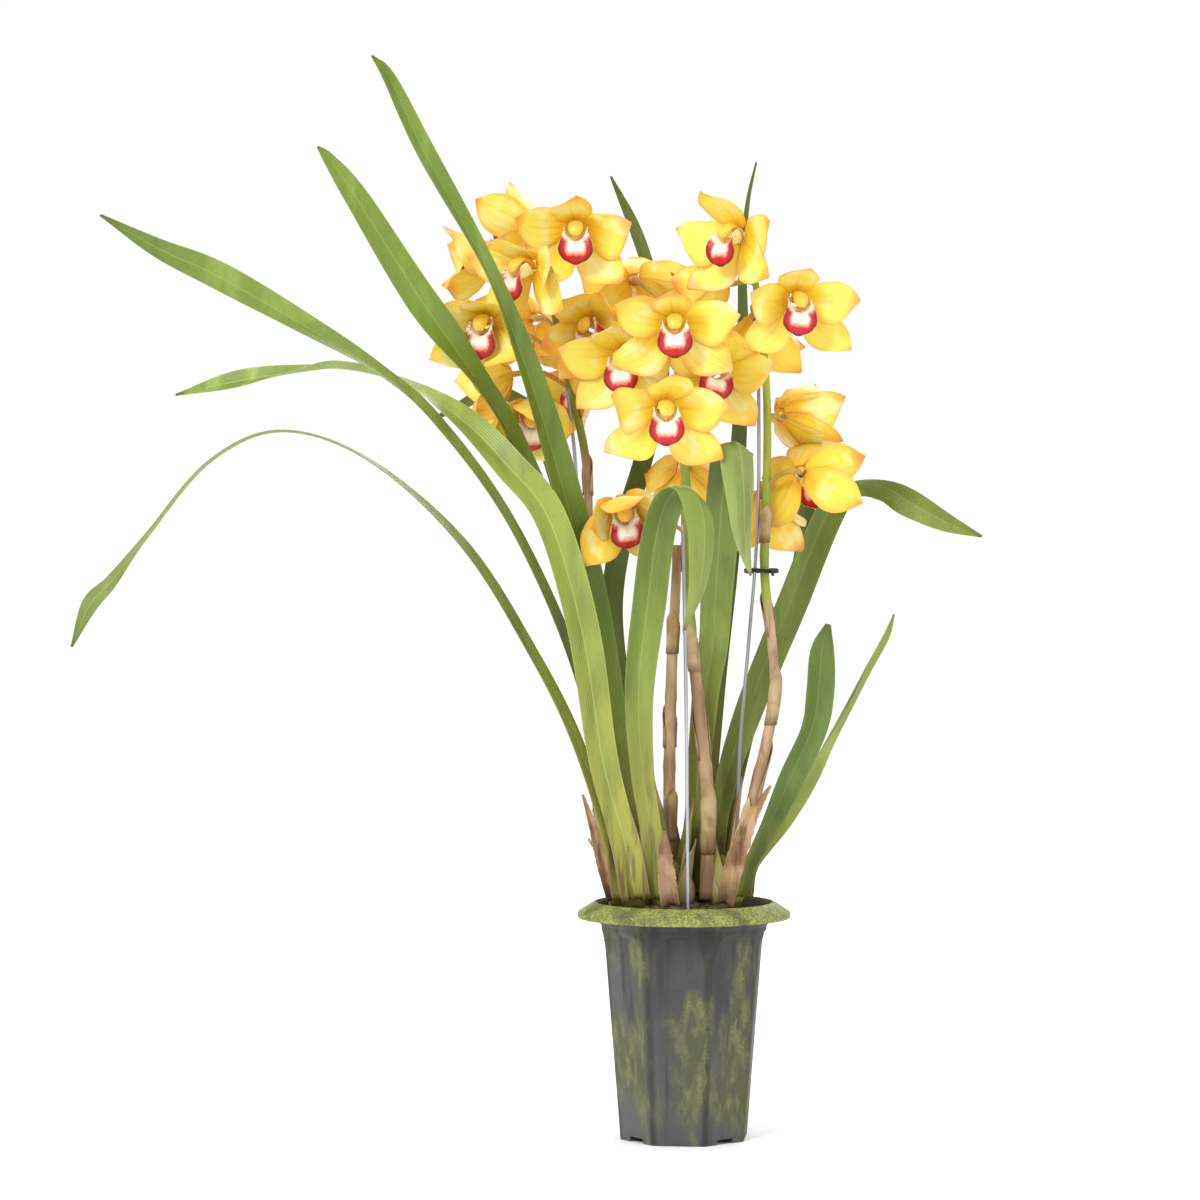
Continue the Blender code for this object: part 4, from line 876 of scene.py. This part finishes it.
def wrap_look():
    """A leaf-base sheath: yellow-green and striated, brown at its foot, its edges and its dried tip."""
    look = Look("leaf_base", roughness=0.55, Specular_IOR_Level=0.35)
    along = look.mark("along")
    off = look.math("ABSOLUTE", look.mark("across"))
    fibres = look.noise(150, 4, 0.08)
    blotch = look.noise(50, 3, 0.5)
    patchy = look.span(blotch, 0.35, 0.65)
    dry = look.mix(patchy, (0.190, 0.105, 0.052), (0.420, 0.300, 0.170))
    look.body = look.mix(patchy, (0.200, 0.215, 0.036), (0.330, 0.330, 0.085))
    look.tint(look.more(look.mark("tone"), blotch, 0.5), 0.80, 1.00, 1.0, dry)
    look.tint(look.more(off, blotch, 0.25), 0.92, 1.12, 0.85, dry)
    look.tint(look.more(along, blotch, 0.25), 0.92, 1.10, 0.9, dry)
    look.tint(fibres, 0.50, 0.70, 0.55, (0.085, 0.065, 0.025))
    look.tint(look.more(along, blotch, -0.12), 0.16, -0.02, 0.85, (0.070, 0.042, 0.022))
    return look.finished(fibres, 0.0006)


def simple_look(name, colour, other, scale, depth, roughness=0.8, upright=1.0, metallic=0.0):
    """Two colours mottled together, with relief to match."""
    look = Look(name, roughness=roughness, Metallic=metallic)
    grain = look.noise(scale, 4, upright)
    look.body = look.mix(look.span(grain, 0.38, 0.62), colour, other)
    return look.finished(grain, depth)


# ---------------------------------------------------------------- pot and mix

def body_radius(height, inset=0.0):
    """Radius of the round tapering body at a height, drawn in by the inset."""
    return BASE_RADIUS + (SHOULDER_RADIUS - BASE_RADIUS) * height / SHOULDER_HEIGHT - inset


def panel_angle(angle):
    """Angle from the middle of the nearest panel."""
    step = 2 * math.pi / PANELS
    return (angle - POT_TURN + step / 2) % step - step / 2


def panelled_radius(angle, height, inset):
    """Radius of the body with its flat panels pressed in, their edges softly rounded."""
    round_body = body_radius(height, inset)
    apothem = BASE_APOTHEM + (TOP_APOTHEM - BASE_APOTHEM) * height / PANEL_TOP - inset
    flat = apothem / np.cos(panel_angle(angle))
    side = np.abs(apothem * np.tan(panel_angle(angle)))
    corner_x = np.maximum(side - (PANEL_HALF_WIDTH - PANEL_CORNER), 0)
    corner_z = np.maximum(height - (PANEL_TOP - PANEL_CORNER), 0)
    beyond = np.hypot(corner_x, corner_z) - PANEL_CORNER
    inside = 1 / (1 + np.exp(beyond / PANEL_SOFTNESS))
    pressed = -PANEL_SOFTNESS * np.logaddexp(-flat / PANEL_SOFTNESS, -round_body / PANEL_SOFTNESS)
    return round_body + (pressed - round_body) * inside


def rounded(profile, radius, steps=4):
    """The (radius, height) profile with each inner corner rounded off."""
    out = [profile[0]]
    for before, corner, after in zip(profile, profile[1:], profile[2:]):
        b, c, a = (np.array(p, float) for p in (before, corner, after))
        reach = min(radius, 0.45 * np.linalg.norm(b - c), 0.45 * np.linalg.norm(a - c))
        start = c + (b - c) / np.linalg.norm(b - c) * reach
        end = c + (a - c) / np.linalg.norm(a - c) * reach
        for t in np.linspace(0, 1, steps):
            out.append(tuple(start * (1 - t) ** 2 + c * 2 * t * (1 - t) + end * t * t))
    return out + [profile[-1]]


def cut_slots(pot):
    """The pot's mesh with drain slots cut through its bottom edge."""
    cutters = []
    for i in range(SLOTS):
        turn = POT_TURN + 2 * math.pi * (i + 0.5) / SLOTS
        reach = BASE_APOTHEM - SLOT_DEPTH / 2 + 0.003
        bm = bmesh.new()
        bmesh.ops.create_cube(bm, size=1)
        bmesh.ops.scale(bm, vec=(SLOT_WIDTH, SLOT_DEPTH + 0.006, 2 * SLOT_HEIGHT), verts=bm.verts)
        bmesh.ops.bevel(bm, geom=bm.edges[:], offset=SLOT_ROUNDING, segments=3, profile=0.5, affect="EDGES")
        cutter = new_object("slot", bpy.data.meshes.new("slot"))
        bm.to_mesh(cutter.data)
        bm.free()
        cutter.rotation_euler.z = turn
        cutter.location = (reach * math.sin(turn), -reach * math.cos(turn), 0)
        step = pot.modifiers.new("slot", "BOOLEAN")
        step.operation = "DIFFERENCE"
        step.object = cutter
        cutters.append(cutter)
    bpy.context.view_layer.update()
    mesh = bpy.data.meshes.new_from_object(pot.evaluated_get(bpy.context.evaluated_depsgraph_get()))
    for extra in cutters + [pot]:
        bpy.data.objects.remove(extra)
    return mesh


def build_pot():
    """The moulded pot: panelled body, sloping rim with a rolled lip, and slots through its base."""
    angle = circle(POT_STEPS)
    outside = [(0.020, 0.0), (0.0011, 0.0), (0.0004, 0.0003), (0.0, 0.0012)]
    outside += [(0.0, height) for height in np.linspace(0.004, 0.150, 34)]
    outside += [(0.0, height) for height in np.linspace(0.1515, 0.1795, 36)]
    rim = rounded([
        (body_radius(0.1800), 0.1800), (body_radius(0.1806), 0.1806), (SHOULDER_RADIUS + 0.0008, 0.1812),
        (MOUTH_RADIUS + 0.0030, 0.1962), (RIM_RADIUS - 0.0028, 0.1893), (RIM_RADIUS - 0.0022, 0.1866),
        (RIM_RADIUS - 0.0004, 0.1866), (RIM_RADIUS, 0.1900), (RIM_RADIUS - 0.0008, 0.1916),
        (MOUTH_RADIUS + 0.0014, POT_HEIGHT), (MOUTH_RADIUS, POT_HEIGHT), (MOUTH_RADIUS, 0.1994),
        (body_radius(0.1800, WALL), 0.1800),
    ], 0.0007)
    inside = [(WALL, height) for height in np.linspace(0.178, 0.150, 20)]
    inside += [(WALL, height) for height in np.linspace(0.145, FLOOR, 16)]
    profile = [(panelled_radius(angle, height, inset), height) for inset, height in outside]
    profile += rim
    profile += [(panelled_radius(angle, height, inset), height) for inset, height in inside]
    profile.append((CENTRE_RADIUS, FLOOR))
    loops = np.array([
        np.stack([radius * np.sin(angle), -radius * np.cos(angle), np.full(POT_STEPS, height)], -1)
        for radius, height in profile
    ])
    builder = Builder()
    rings(builder, loops, 0, marked(loops, across=np.abs(panel_angle(angle)) / (math.pi / PANELS)))
    mesh = cut_slots(new_object("pot_work", builder.mesh("pot", ["pot"], outward=True)))
    mesh.name = "pot_moulded"
    mesh.shade_smooth()
    mesh.set_sharp_from_angle(angle=math.radians(POT_SHARP_ANGLE))
    place(mesh, ["pot"])


def mound_height(x, y):
    """Height of the mix's surface at a place."""
    t = np.clip(np.hypot(x, y) / (TOP_APOTHEM - WALL), 0, 1)
    lump = 0.0012 * np.sin(x * 310 + 1.0) * np.cos(y * 270 + 0.4) + 0.0008 * np.sin(x * 640 + y * 520)
    return MIX_CROWN - 0.0015 - (MIX_CROWN - MIX_EDGE) * t ** 2.2 + lump


def build_mound():
    """The body of mix that fills the pot, its top a lumpy mound."""
    sides = 96
    angle = circle(sides)
    foot = BASE_APOTHEM - WALL - MIX_GAP
    neck = TOP_APOTHEM - WALL - MIX_GAP
    loops = []
    for radius, height in ((CENTRE_RADIUS, FLOOR + 0.0005), (foot, FLOOR + 0.0005), (neck, 0.172)):
        loops.append(np.stack([radius * np.cos(angle), radius * np.sin(angle), np.full(sides, height)], -1))
    for share in np.linspace(1, 0.04, 26):
        x = neck * share * np.cos(angle)
        y = neck * share * np.sin(angle)
        loops.append(np.stack([x, y, mound_height(x, y)], -1))
    loops = np.array(loops)
    builder = Builder()
    rings(builder, loops, 0, marked(loops))
    place(builder.mesh("mix_mound", ["mix"], outward=True), ["potting_mix"])


def scatter_chips(rng):
    """Loose bark chips and grains of perlite on the mound."""
    chips = Builder()
    perlite = Builder()
    for number in range(LOOSE_PIECES):
        radius = (TOP_APOTHEM - 0.004) * math.sqrt(rng.random())
        turn = rng.uniform(0, 2 * math.pi)
        x, y = radius * math.cos(turn), radius * math.sin(turn)
        white = number % PERLITE_EVERY == 0
        size, wide, tall = (rng.uniform(*limits) for limits in (PERLITE if white else BARK_CHIP))
        spin = Matrix.Rotation(rng.uniform(0, 6.3), 3, "Z")
        spin = spin @ Matrix.Rotation(rng.uniform(-0.5, 0.5), 3, "X")
        middle = Vector((x, y, float(mound_height(x, y)) + size * 0.22))
        bm = bmesh.new()
        if white:
            bmesh.ops.create_icosphere(bm, subdivisions=2, radius=size)
        else:
            bmesh.ops.create_cube(bm, size=2 * size)
            bmesh.ops.bevel(
                bm, geom=bm.edges[:], offset=size * 0.3, segments=1, profile=0.5, affect="EDGES",
            )
        for vert in bm.verts:
            jitter = Vector([rng.uniform(-0.14, 0.14) * size for _ in range(3)])
            scaled = Vector((vert.co.x, vert.co.y * wide, vert.co.z * tall))
            vert.co = spin @ (scaled + jitter) + middle
        bm.verts.index_update()
        faces = [[vert.index for vert in face.verts] for face in bm.faces]
        marks = [(0, 0, rng.random())] * len(bm.verts)
        (perlite if white else chips).add([vert.co[:] for vert in bm.verts], faces, 0, marks)
        bm.free()
    place(chips.mesh("bark_chips", ["bark"], sharp=35))
    place(perlite.mesh("perlite_grains", ["perlite"]))


def lay_roots(rng):
    """Pale roots that wander over the mound."""
    roots = Builder()
    for _ in range(ROOTS):
        turn = rng.uniform(0, 2 * math.pi)
        spot = Vector((0.030 * math.cos(turn), 0.024 * math.sin(turn), 0))
        heading = turn + rng.uniform(-0.9, 0.9)
        path = []
        for i in range(14):
            heading += rng.uniform(-0.35, 0.35)
            spot += Vector((math.cos(heading), math.sin(heading), 0)) * 0.0028
            if math.hypot(spot.x, spot.y) > 0.058:
                heading += 1.0
            lift = 0.0022 * math.sin(math.pi * i / 13) - 0.0012
            path.append((spot.x, spot.y, float(mound_height(spot.x, spot.y)) + lift))
        tube(roots, smooth_path(path, 30), np.linspace(0.0016, 0.0009, 30), 8, start=(0, 0, 1))
    place(roots.mesh("surface_roots", ["root"]))


def grow_moss(rng):
    """Short tufts of moss in clumps near the rim."""
    moss = Builder()
    for _ in range(MOSS_TUFTS):
        turn = rng.choice(MOSS_CLUMPS) + rng.gauss(0, 0.28)
        radius = min(rng.gauss(0.050, 0.008), 0.061)
        x, y = radius * math.cos(turn), radius * math.sin(turn)
        foot = Vector((x, y, float(mound_height(x, y))))
        height = rng.uniform(0.0018, 0.0045)
        lean = Vector((rng.uniform(-1, 1), rng.uniform(-1, 1), 0)) * height * 0.4
        path = [
            foot - Vector((0, 0, 0.001)), foot + lean * 0.4 + Vector((0, 0, height * 0.6)),
            foot + lean + Vector((0, 0, height)),
        ]
        tube(moss, path, (0.0006, 0.0005, 0.0001), 4, tone=rng.random(), start=(1, 0, 0))
    place(moss.mesh("moss_tufts", ["moss"]))


# ---------------------------------------------------------------- plant

def strap(name, rows, thickness, stations, look, keel, ragged=0.0):
    """A leaf or sheath: a keeled blade along its midrib, thin at its edges, folded tighter at its foot."""
    rng = random.Random(name)
    sampled = smooth_path(rows, stations)
    path = sampled[:, :3] * CM
    tangents, faces = carried_frames(path)
    turn = np.radians(sampled[:, 4])[:, None]
    face = faces * np.cos(turn) + np.cross(tangents, faces) * np.sin(turn)
    side = np.cross(tangents, face)
    u = np.linspace(0, 1, stations)[:, None]
    v = mirrored(0.09, 0.24, 0.45, 0.66, 0.86, 0.965, 1)[None]
    clasp = 1 + (0 if ragged else 0.45) * np.clip(1 - u / 0.13, 0, 1) ** 0.8
    half = np.maximum(sampled[:, 3:4], 0.05) * CM / 2 * clasp
    phase = rng.uniform(0, 6)
    fold = keel * (1 + 1.2 * np.clip(1 - u / 0.16, 0, 1) ** 2)
    rise = 2 * np.sqrt(v ** 2 + 0.006) - 1 - 0.14 * np.sin(math.pi * np.abs(v))
    ripple = 0.03 * np.sin(u * 21 + phase) * v * np.abs(v)
    swell = 1 + 0.015 * np.sin(u * 17 + phase)
    torn = np.array([[rng.uniform(-ragged, ragged) for _ in v[0]] for _ in u])
    torn *= (np.abs(v) > 0.9) * np.clip(u * 2, 0, 1)
    points = path[:, None] + side[:, None] * (half * swell * v * (1 + torn))[..., None]
    points = points + face[:, None] * (half * (fold * rise + ripple))[..., None]
    thick = thickness * (1 - 0.62 * v ** 4) * (1 - 0.5 * u ** 6)
    builder = Builder()
    sheet(builder, points, thick, 0, 0, marked(points, u, v))
    place(builder.mesh(name + "_blade", [look]), [name])


def add_wrap(builder, middle, size, number, tall, lean, aside, rng):
    """A leaf base that clasps a bulb at its foot and narrows upward to a torn or pointed end."""
    side = 1 if lean > 0 else -1
    u = np.linspace(0, 1, 26)[:, None]
    v = np.linspace(-1, 1, 21)[None]
    wrap = np.radians(125 - 85 * u ** 0.8) * np.clip((1 - u) * 5, 0.08, 1) ** 0.6
    angle = v * wrap + 0.35 * rng.uniform(-1, 1)
    loose = 1.06 + 0.10 * number
    swell = 1 + 0.25 * np.sin(math.pi * np.clip(u * 2.2, 0, 1)) - 0.30 * u
    out = size[0] * loose * swell * np.cos(angle) * side
    deep = size[1] * loose * swell * np.sin(angle) * side
    x = middle[0] + out + lean * u ** 1.5
    y = middle[1] + deep * 1.15 + aside * u
    torn = 0.10 * np.sin(v * 9 + rng.uniform(0, 6)) * np.clip(u * 3 - 2, 0, 1)
    z = middle[2] + 0.4 + (tall + torn) * u
    points = np.stack([x, y, z], -1) * CM
    sheet(builder, points, WRAP_THICKNESS, 1, 1, marked(points, u, v, rng.uniform(0.15, 0.75)))


def build_bulb(name, middle, across, deep, height):
    """A pseudobulb: an egg wrapped in overlapping leaf-base sheaths, brown and split low down."""
    angle = circle(40)[None]
    level = np.linspace(-1, 1, 22)[:, None] * 0.995
    girth = np.sqrt(1 - level ** 2) * (1 - 0.28 * np.maximum(level, 0))
    furrow = 1 - 0.03 * (0.5 + 0.5 * np.cos(angle * 9 + level * 2))
    x = middle[0] * CM + across * CM * girth * furrow * np.cos(angle)
    y = middle[1] * CM + deep * CM * girth * furrow * np.sin(angle)
    z = np.broadcast_to((middle[2] + height / 2 * (1 + level)) * CM, x.shape)
    loops = np.stack([x, y, z], -1)
    builder = Builder()
    rings(builder, loops, 0, marked(loops, (level + 1) / 2, np.cos(angle * 5)))
    rng = random.Random(name)
    for number, (tall, lean, aside) in enumerate(WRAPS[name]):
        add_wrap(builder, middle, (across, deep), number, tall, lean, aside, rng)
    place(builder.mesh(name + "_skin", ["bulb", "wrap"], outward=True), [name])


def facing(yaw, pitch, roll):
    """Rotation that turns a flower's own +Z to where it faces, with its own +Y up before the roll."""
    a = math.radians(yaw)
    b = math.radians(pitch)
    ahead = Vector((math.sin(a) * math.cos(b), -math.cos(a) * math.cos(b), math.sin(b)))
    up = Vector((-math.sin(a) * math.sin(b), math.cos(a) * math.sin(b), math.cos(b)))
    right = up.cross(ahead)
    return Matrix((right, up, ahead)).transposed() @ Matrix.Rotation(-math.radians(roll), 3, "Z")


def stalk_path(stem, middle, ahead):
    """A flower stalk in cm: off the stem, then curving to meet the flower's back squarely."""
    meet = middle - ahead * 0.45
    bend = meet - ahead * 0.6
    reach = (bend - min(stem, key=lambda p: (p - bend).length)).length
    foot = min(stem, key=lambda p: abs(p.z - (bend.z - 0.45 * reach)))
    out = bend - foot
    pull = 0.4 * out.length
    first = foot + Vector((out.x * 0.35, out.y * 0.35, 0.6 * pull))
    second = bend - ahead * pull
    path = []
    for t in np.linspace(0, 1, 14):
        near_foot = foot * (1 - t) ** 3 + first * 3 * t * (1 - t) ** 2
        near_bend = second * 3 * t * t * (1 - t) + bend * t ** 3
        path.append(near_foot + near_bend)
    return path + [meet, meet + ahead * 0.35]


def add_tepal(builder, tepal, side, form, tone, rng):
    """One petal or sepal: a broad blade that cups, bends to one side, waves and folds at its edges."""
    base_angle, length, width, leans = TEPALS[tepal]
    foot, tip = (math.radians(lean + rng.uniform(-9, 9)) for lean in leans[form])
    length *= rng.uniform(0.93, 1.05)
    width *= rng.uniform(0.93, 1.06)
    turn = math.radians(side * base_angle + rng.uniform(-8, 8))
    twist = rng.uniform(-0.45, 0.45)
    phase = rng.uniform(0, 6)
    sickle = rng.uniform(0.15, 0.85) * side * (1 if tepal != "upper_sepal" else rng.choice((-1, 1)) * 0.6)
    skew = rng.uniform(-0.12, 0.12)
    point = rng.uniform(1.05, 1.22)
    u = np.linspace(0, 1, 31)[:, None] ** 0.92
    v = mirrored(0.15, 0.32, 0.5, 0.68, 0.84, 0.96, 1)[None]
    lean = foot + (tip - foot) * u
    out = HUB_RADIUS + length * (np.sin(lean) - math.sin(foot)) / (tip - foot)
    lift = length * (math.cos(foot) - np.cos(lean)) / (tip - foot)
    bluntness = 0.60 + 0.55 * np.maximum(u - 0.5, 0)
    outline = 0.26 * (1 - u) ** 2 + np.maximum(np.sin(math.pi * u ** point), 0) ** bluntness
    outline = np.maximum(outline, 0.03) * (1 + skew * v * np.sin(math.pi * u))
    half = v * width / 2 * outline
    bowl = 0.42 * v ** 2 - 0.16 * v ** 6
    curl = bowl * np.sin(math.pi * np.clip(u * 1.05, 0, 1)) ** 0.8
    wave = 0.10 * np.sin(u * 8 + phase) * v ** 3 + 0.05 * np.sin(u * 19 + phase * 2) * v ** 5
    fold = -0.45 * np.clip((u - 0.78) / 0.22, 0, 1) ** 2 * (0.4 + skew * 3 * v)
    crease = -0.06 * np.exp(-(v / 0.12) ** 2) * (1 - u)
    rise = curl + wave + twist * half * u + crease + fold
    lift = lift + rise * np.cos(lean)
    out = out - rise * np.sin(lean)
    aside = half + sickle * np.sin(math.pi * u * 0.9) ** 2 - sickle * 0.4 * u ** 2
    x = out * math.sin(turn) + aside * math.cos(turn)
    y = out * math.cos(turn) - aside * math.sin(turn)
    points = np.stack([x, y, lift], -1) * CM
    thick = TEPAL_THICKNESS * (1 - 0.55 * v ** 4) * (1 - 0.3 * u)
    sheet(builder, points[:, ::-1], thick, 0, 1, marked(points, u, v, tone)[:, ::-1])


def add_lip(builder, rng):
    """The lip: side lobes that stand up beside the column, and a broad front lobe turned down."""
    rows = smooth_path(LIP, 34)
    share, forward, up, half, rise, back = (rows[:, k:k + 1] for k in range(6))
    half = np.maximum(half, 0.05)
    v = np.linspace(-1, 1, 25)[None]
    slope = directions(rows[:, 1:3])
    frill = 0.05 * np.sin(v * 11 + rng.uniform(0, 6)) * np.clip((share - 0.55) * 4, 0, 1) * v ** 2
    off = rise * v ** 2 - back * v ** 2 + frill
    x = half * v * (1 - 0.16 * np.clip(rise, 0, 1) * v ** 2)
    y = up + slope[:, :1] * off
    z = forward - slope[:, 1:] * off
    points = np.stack([x, y, z], -1) * CM
    margin = np.minimum(half * (1 - np.abs(v)), 3.1 * (1 - share) * 0.75 + 0.10)
    thick = LIP_THICKNESS * (1 - 0.5 * v ** 4)
    sheet(builder, points[:, ::-1], thick, 2, 2, marked(points, share, v, margin)[:, ::-1])
    t = np.linspace(0, 1, 9)
    for side in (-1, 1):
        crest = (-1.00 + 0.10 * np.sin(t * 3.1)) * CM + 0.0006
        ridge = np.stack([np.full(9, side * 0.14 * CM), crest, (0.9 + 1.35 * t) * CM], -1)
        tube(builder, ridge, np.array([0.2, 0.8, 1, 1, 1, 1, 1, 0.8, 0.2]) * 0.0008, 8, 3, start=(1, 0, 0))


def add_column(builder):
    """The column: a short arching hooded body, broadest near its cap."""
    rows = smooth_path(COLUMN, 22)
    forward, up, half, deep = (rows[:, k:k + 1] for k in range(4))
    slope = directions(rows[:, :2])
    angle = circle(24)
    under = np.sin(angle)
    drop = deep * under * np.where(under < 0, 0.72, 1.0)
    x = half * np.cos(angle)
    y = up + slope[:, :1] * drop
    z = forward - slope[:, 1:] * drop
    loops = np.stack([x, y, z], -1) * CM
    # The across mark is 1 on the column's underside, where its look paints shade in darker orange.
    rings(builder, loops, 3, marked(loops, np.linspace(0, 1, len(rows))[:, None], -under))


def build_flower(name, spot, yaw, pitch, roll, form, tone):
    """A whole flower in one piece, a little different from every other."""
    rng = random.Random(name)
    builder = Builder()
    for tepal, side in AROUND:
        add_tepal(builder, tepal, side, form, min(max(tone + rng.uniform(-0.12, 0.12), 0), 1), rng)
    add_lip(builder, rng)
    add_column(builder)
    mesh = builder.mesh(name + "_bloom", ["inner", "outer", "lip", "column"], outward=True)
    mesh.transform(Matrix.Translation(Vector(spot) * CM) @ facing(yaw, pitch, roll).to_4x4())
    place(mesh, [name])


def add_bract(builder, path, radii, foot, length, side):
    """A papery bract that wraps a stem and stands a little off it at its pointed tip."""
    u = np.linspace(0, 1, 14)
    v = np.linspace(-1, 1, 13)
    z = foot * CM + u * length * CM
    centre = np.stack([np.interp(z, path[:, 2], path[:, k]) for k in range(3)], -1)
    wrap = math.radians(125) * np.clip(1 - u ** 2.2, 0.02, 1)
    angle = math.radians(side) + wrap[:, None] * v
    radius = np.interp(z, path[:, 2], radii) + 0.0007 + 0.0022 * u ** 2
    outward = np.stack([np.sin(angle), -np.cos(angle), np.zeros_like(angle)], -1)
    points = centre[:, None] + radius[:, None, None] * outward
    sheet(builder, points, BRACT_THICKNESS, 1, 1, marked(points, u[:, None], v))


def build_stem(name, points, low, high):
    """A stem with its bracts and the flower stalks that grow from it."""
    builder = Builder()
    rows = smooth_path(points, STEM_STATIONS)
    path = rows * CM
    radii = np.linspace(low, high, STEM_STATIONS) * CM
    knots = 1 + 0.10 * np.maximum(np.sin(rows[:, 2] * 1.05), 0) ** 10
    tube(builder, path, radii * knots, 18)
    stem = [Vector(p) for p in smooth_path(points, 60)]
    for spike, spot, yaw, pitch, roll, _, _ in FLOWERS.values():
        if spike == name:
            ahead = facing(yaw, pitch, roll) @ Vector((0, 0, 1))
            stalk = smooth_path(stalk_path(stem, Vector(spot), ahead), STALK_STATIONS) * CM
            tube(builder, stalk, np.linspace(*STALK_RADII, STALK_STATIONS), 12, tone=1.0)
    for foot, length, side in BRACTS[name]:
        add_bract(builder, path, radii, foot, length, side)
    place(builder.mesh(name + "_stem", [name, "bract"], outward=True), [name])


def build_tie(name, middle, across, deep):
    """A black tie: two turns round a spike and its wire, with its ends twisted together in front."""
    builder = Builder()
    angle = np.linspace(0, 2 * math.pi, 48)
    centre = np.array(middle) * CM
    for level in (-0.0009, 0.0009):
        path = centre + np.stack([
            across * CM * 0.98 * np.cos(angle), deep * CM * 0.98 * np.sin(angle),
            level + 0.0006 * np.sin(angle * 2),
        ], -1)
        tube(builder, path, TIE_RADIUS, 8, start=(0, 0, 1))
    turns = np.linspace(0, 1, 40)
    for start in (0, math.pi):
        twist = turns * 22 + start
        path = centre + np.stack([
            across * CM * 0.6 + 0.0008 * np.cos(twist), -deep * CM * 0.85 - 0.010 * turns,
            0.0008 * np.sin(twist) - 0.004 * turns ** 2,
        ], -1)
        tube(builder, path, TIE_END_RADIUS, 6, start=(0, 0, 1))
    place(builder.mesh(name + "_loop", ["tie"], outward=True), [name])


def build_plant():
    """Bulbs, leaves, sheaths, flowers, stems, wires and ties."""
    for name, sizes in BULBS.items():
        build_bulb(name, *sizes)
    for name, rows in LEAVES.items():
        LOOKS[name] = leaf_look(name + "_skin", *LEAF_COLOURS[name])
        keel = FLAT_KEELS.get(name, LEAF_KEEL)
        strap(name, rows, LEAF_THICKNESS, LEAF_STATIONS, name, keel)
    for name, rows in SHEATHS.items():
        strap(
            name, rows, SHEATH_THICKNESS, SHEATH_STATIONS,
            "sheath", SHEATH_KEEL, SHEATH_TEARS,
        )
    for name, (_, *pose) in FLOWERS.items():
        build_flower(name, *pose)
    for name, sizes in STEMS.items():
        build_stem(name, *sizes)
    for name, points in WIRES.items():
        builder = Builder()
        tube(builder, smooth_path(points, 60) * CM, WIRE_RADIUS, 12)
        place(builder.mesh(name + "_rod", ["wire"]), [name])
    for name, sizes in TIES.items():
        build_tie(name, *sizes)


def build_studio():
    """A pale floor, soft light from the front and above, and the camera."""
    floor_look = Look("floor", roughness=0.8)
    floor_look.shader.inputs["Base Color"].default_value = FLOOR_COLOUR
    mesh = bpy.data.meshes.new("floor")
    half = FLOOR_HALF_WIDTH
    corners = [(-half, -half, 0), (half, -half, 0), (half, half, 0), (-half, half, 0)]
    mesh.from_pydata(corners, [], [(0, 1, 2, 3)])
    mesh.materials.append(floor_look.material)
    floor = new_object("floor", mesh)

    world = bpy.data.worlds.new("studio")
    bpy.context.scene.world = world
    world.use_nodes = True
    background = world.node_tree.nodes["Background"]
    background.inputs["Color"].default_value = (1, 1, 1, 1)
    background.inputs["Strength"].default_value = WORLD_STRENGTH

    for name, (spot, size, energy) in LAMPS.items():
        lamp = bpy.data.lights.new(name, "AREA")
        lamp.shape = "DISK"
        lamp.size = size
        lamp.energy = energy
        light = new_object(name, lamp)
        light.location = spot
        light.rotation_euler = (Vector(LAMP_TARGET) - Vector(spot)).to_track_quat("-Z", "Y").to_euler()

    camera = new_object("camera", bpy.data.cameras.new("camera"))
    camera.location = CAMERA_PLACE
    camera.rotation_euler = (math.radians(90), 0, 0)
    camera.data.lens = CAMERA_LENS
    camera.data.sensor_width = CAMERA_SENSOR
    bpy.context.scene.camera = camera
    bpy.context.scene.view_settings.view_transform = "Standard"


LOOKS = {
    "pot": pot_look(),
    "mix": simple_look("damp_mix", (0.030, 0.020, 0.013), (0.085, 0.055, 0.032), 260, 0.0015, 0.95),
    "bark": simple_look("bark", (0.055, 0.032, 0.018), (0.150, 0.090, 0.050), 420, 0.0006, 0.9, 0.4),
    "perlite": simple_look("perlite", (0.62, 0.60, 0.54), (0.85, 0.84, 0.80), 500, 0.0003, 0.9),
    "root": simple_look("root", (0.30, 0.24, 0.14), (0.62, 0.58, 0.46), 200, 0.0003, 0.85),
    "moss": simple_look("moss", (0.060, 0.110, 0.012), (0.150, 0.220, 0.030), 300, 0.0003, 0.95),
    "bulb": paper_look("bulb_skin", (0.40, 0.42, 0.13), (0.24, 0.29, 0.07), (0.14, 0.10, 0.04)),
    "wrap": wrap_look(),
    "sheath": paper_look("dry_sheath", (0.46, 0.31, 0.17), (0.24, 0.135, 0.070), (0.085, 0.048, 0.028)),
    "bract": paper_look("bract", (0.52, 0.40, 0.22), (0.34, 0.22, 0.10), (0.14, 0.09, 0.04)),
    "inner": tepal_look("petal_inner", -0.05),
    "outer": tepal_look("petal_outer", 0.18),
    "lip": lip_look(),
    "column": column_look(),
    "flower_spike_left": stem_look("spike_left", 0.58, (0.17, 0.19, 0.030)),
    "flower_spike_center": stem_look("spike_center", 0.43, (0.21, 0.25, 0.030)),
    "flower_spike_right": stem_look("spike_right", 0.56, (0.22, 0.26, 0.030)),
    "old_flower_stem": stem_look("old_stem", 1.2, (0.25, 0.16, 0.07)),
    "wire": simple_look("dull_wire", (0.30, 0.32, 0.34), (0.48, 0.50, 0.53), 90, 0.0001, 0.42, 0.1, 0.85),
    "tie": simple_look("tie_plastic", (0.008, 0.008, 0.008), (0.022, 0.022, 0.022), 300, 0.0002, 0.45),
}

build_pot()
build_mound()
loose = random.Random(LOOSE_SEED)
scatter_chips(loose)
lay_roots(loose)
grow_moss(loose)
build_plant()
build_studio()
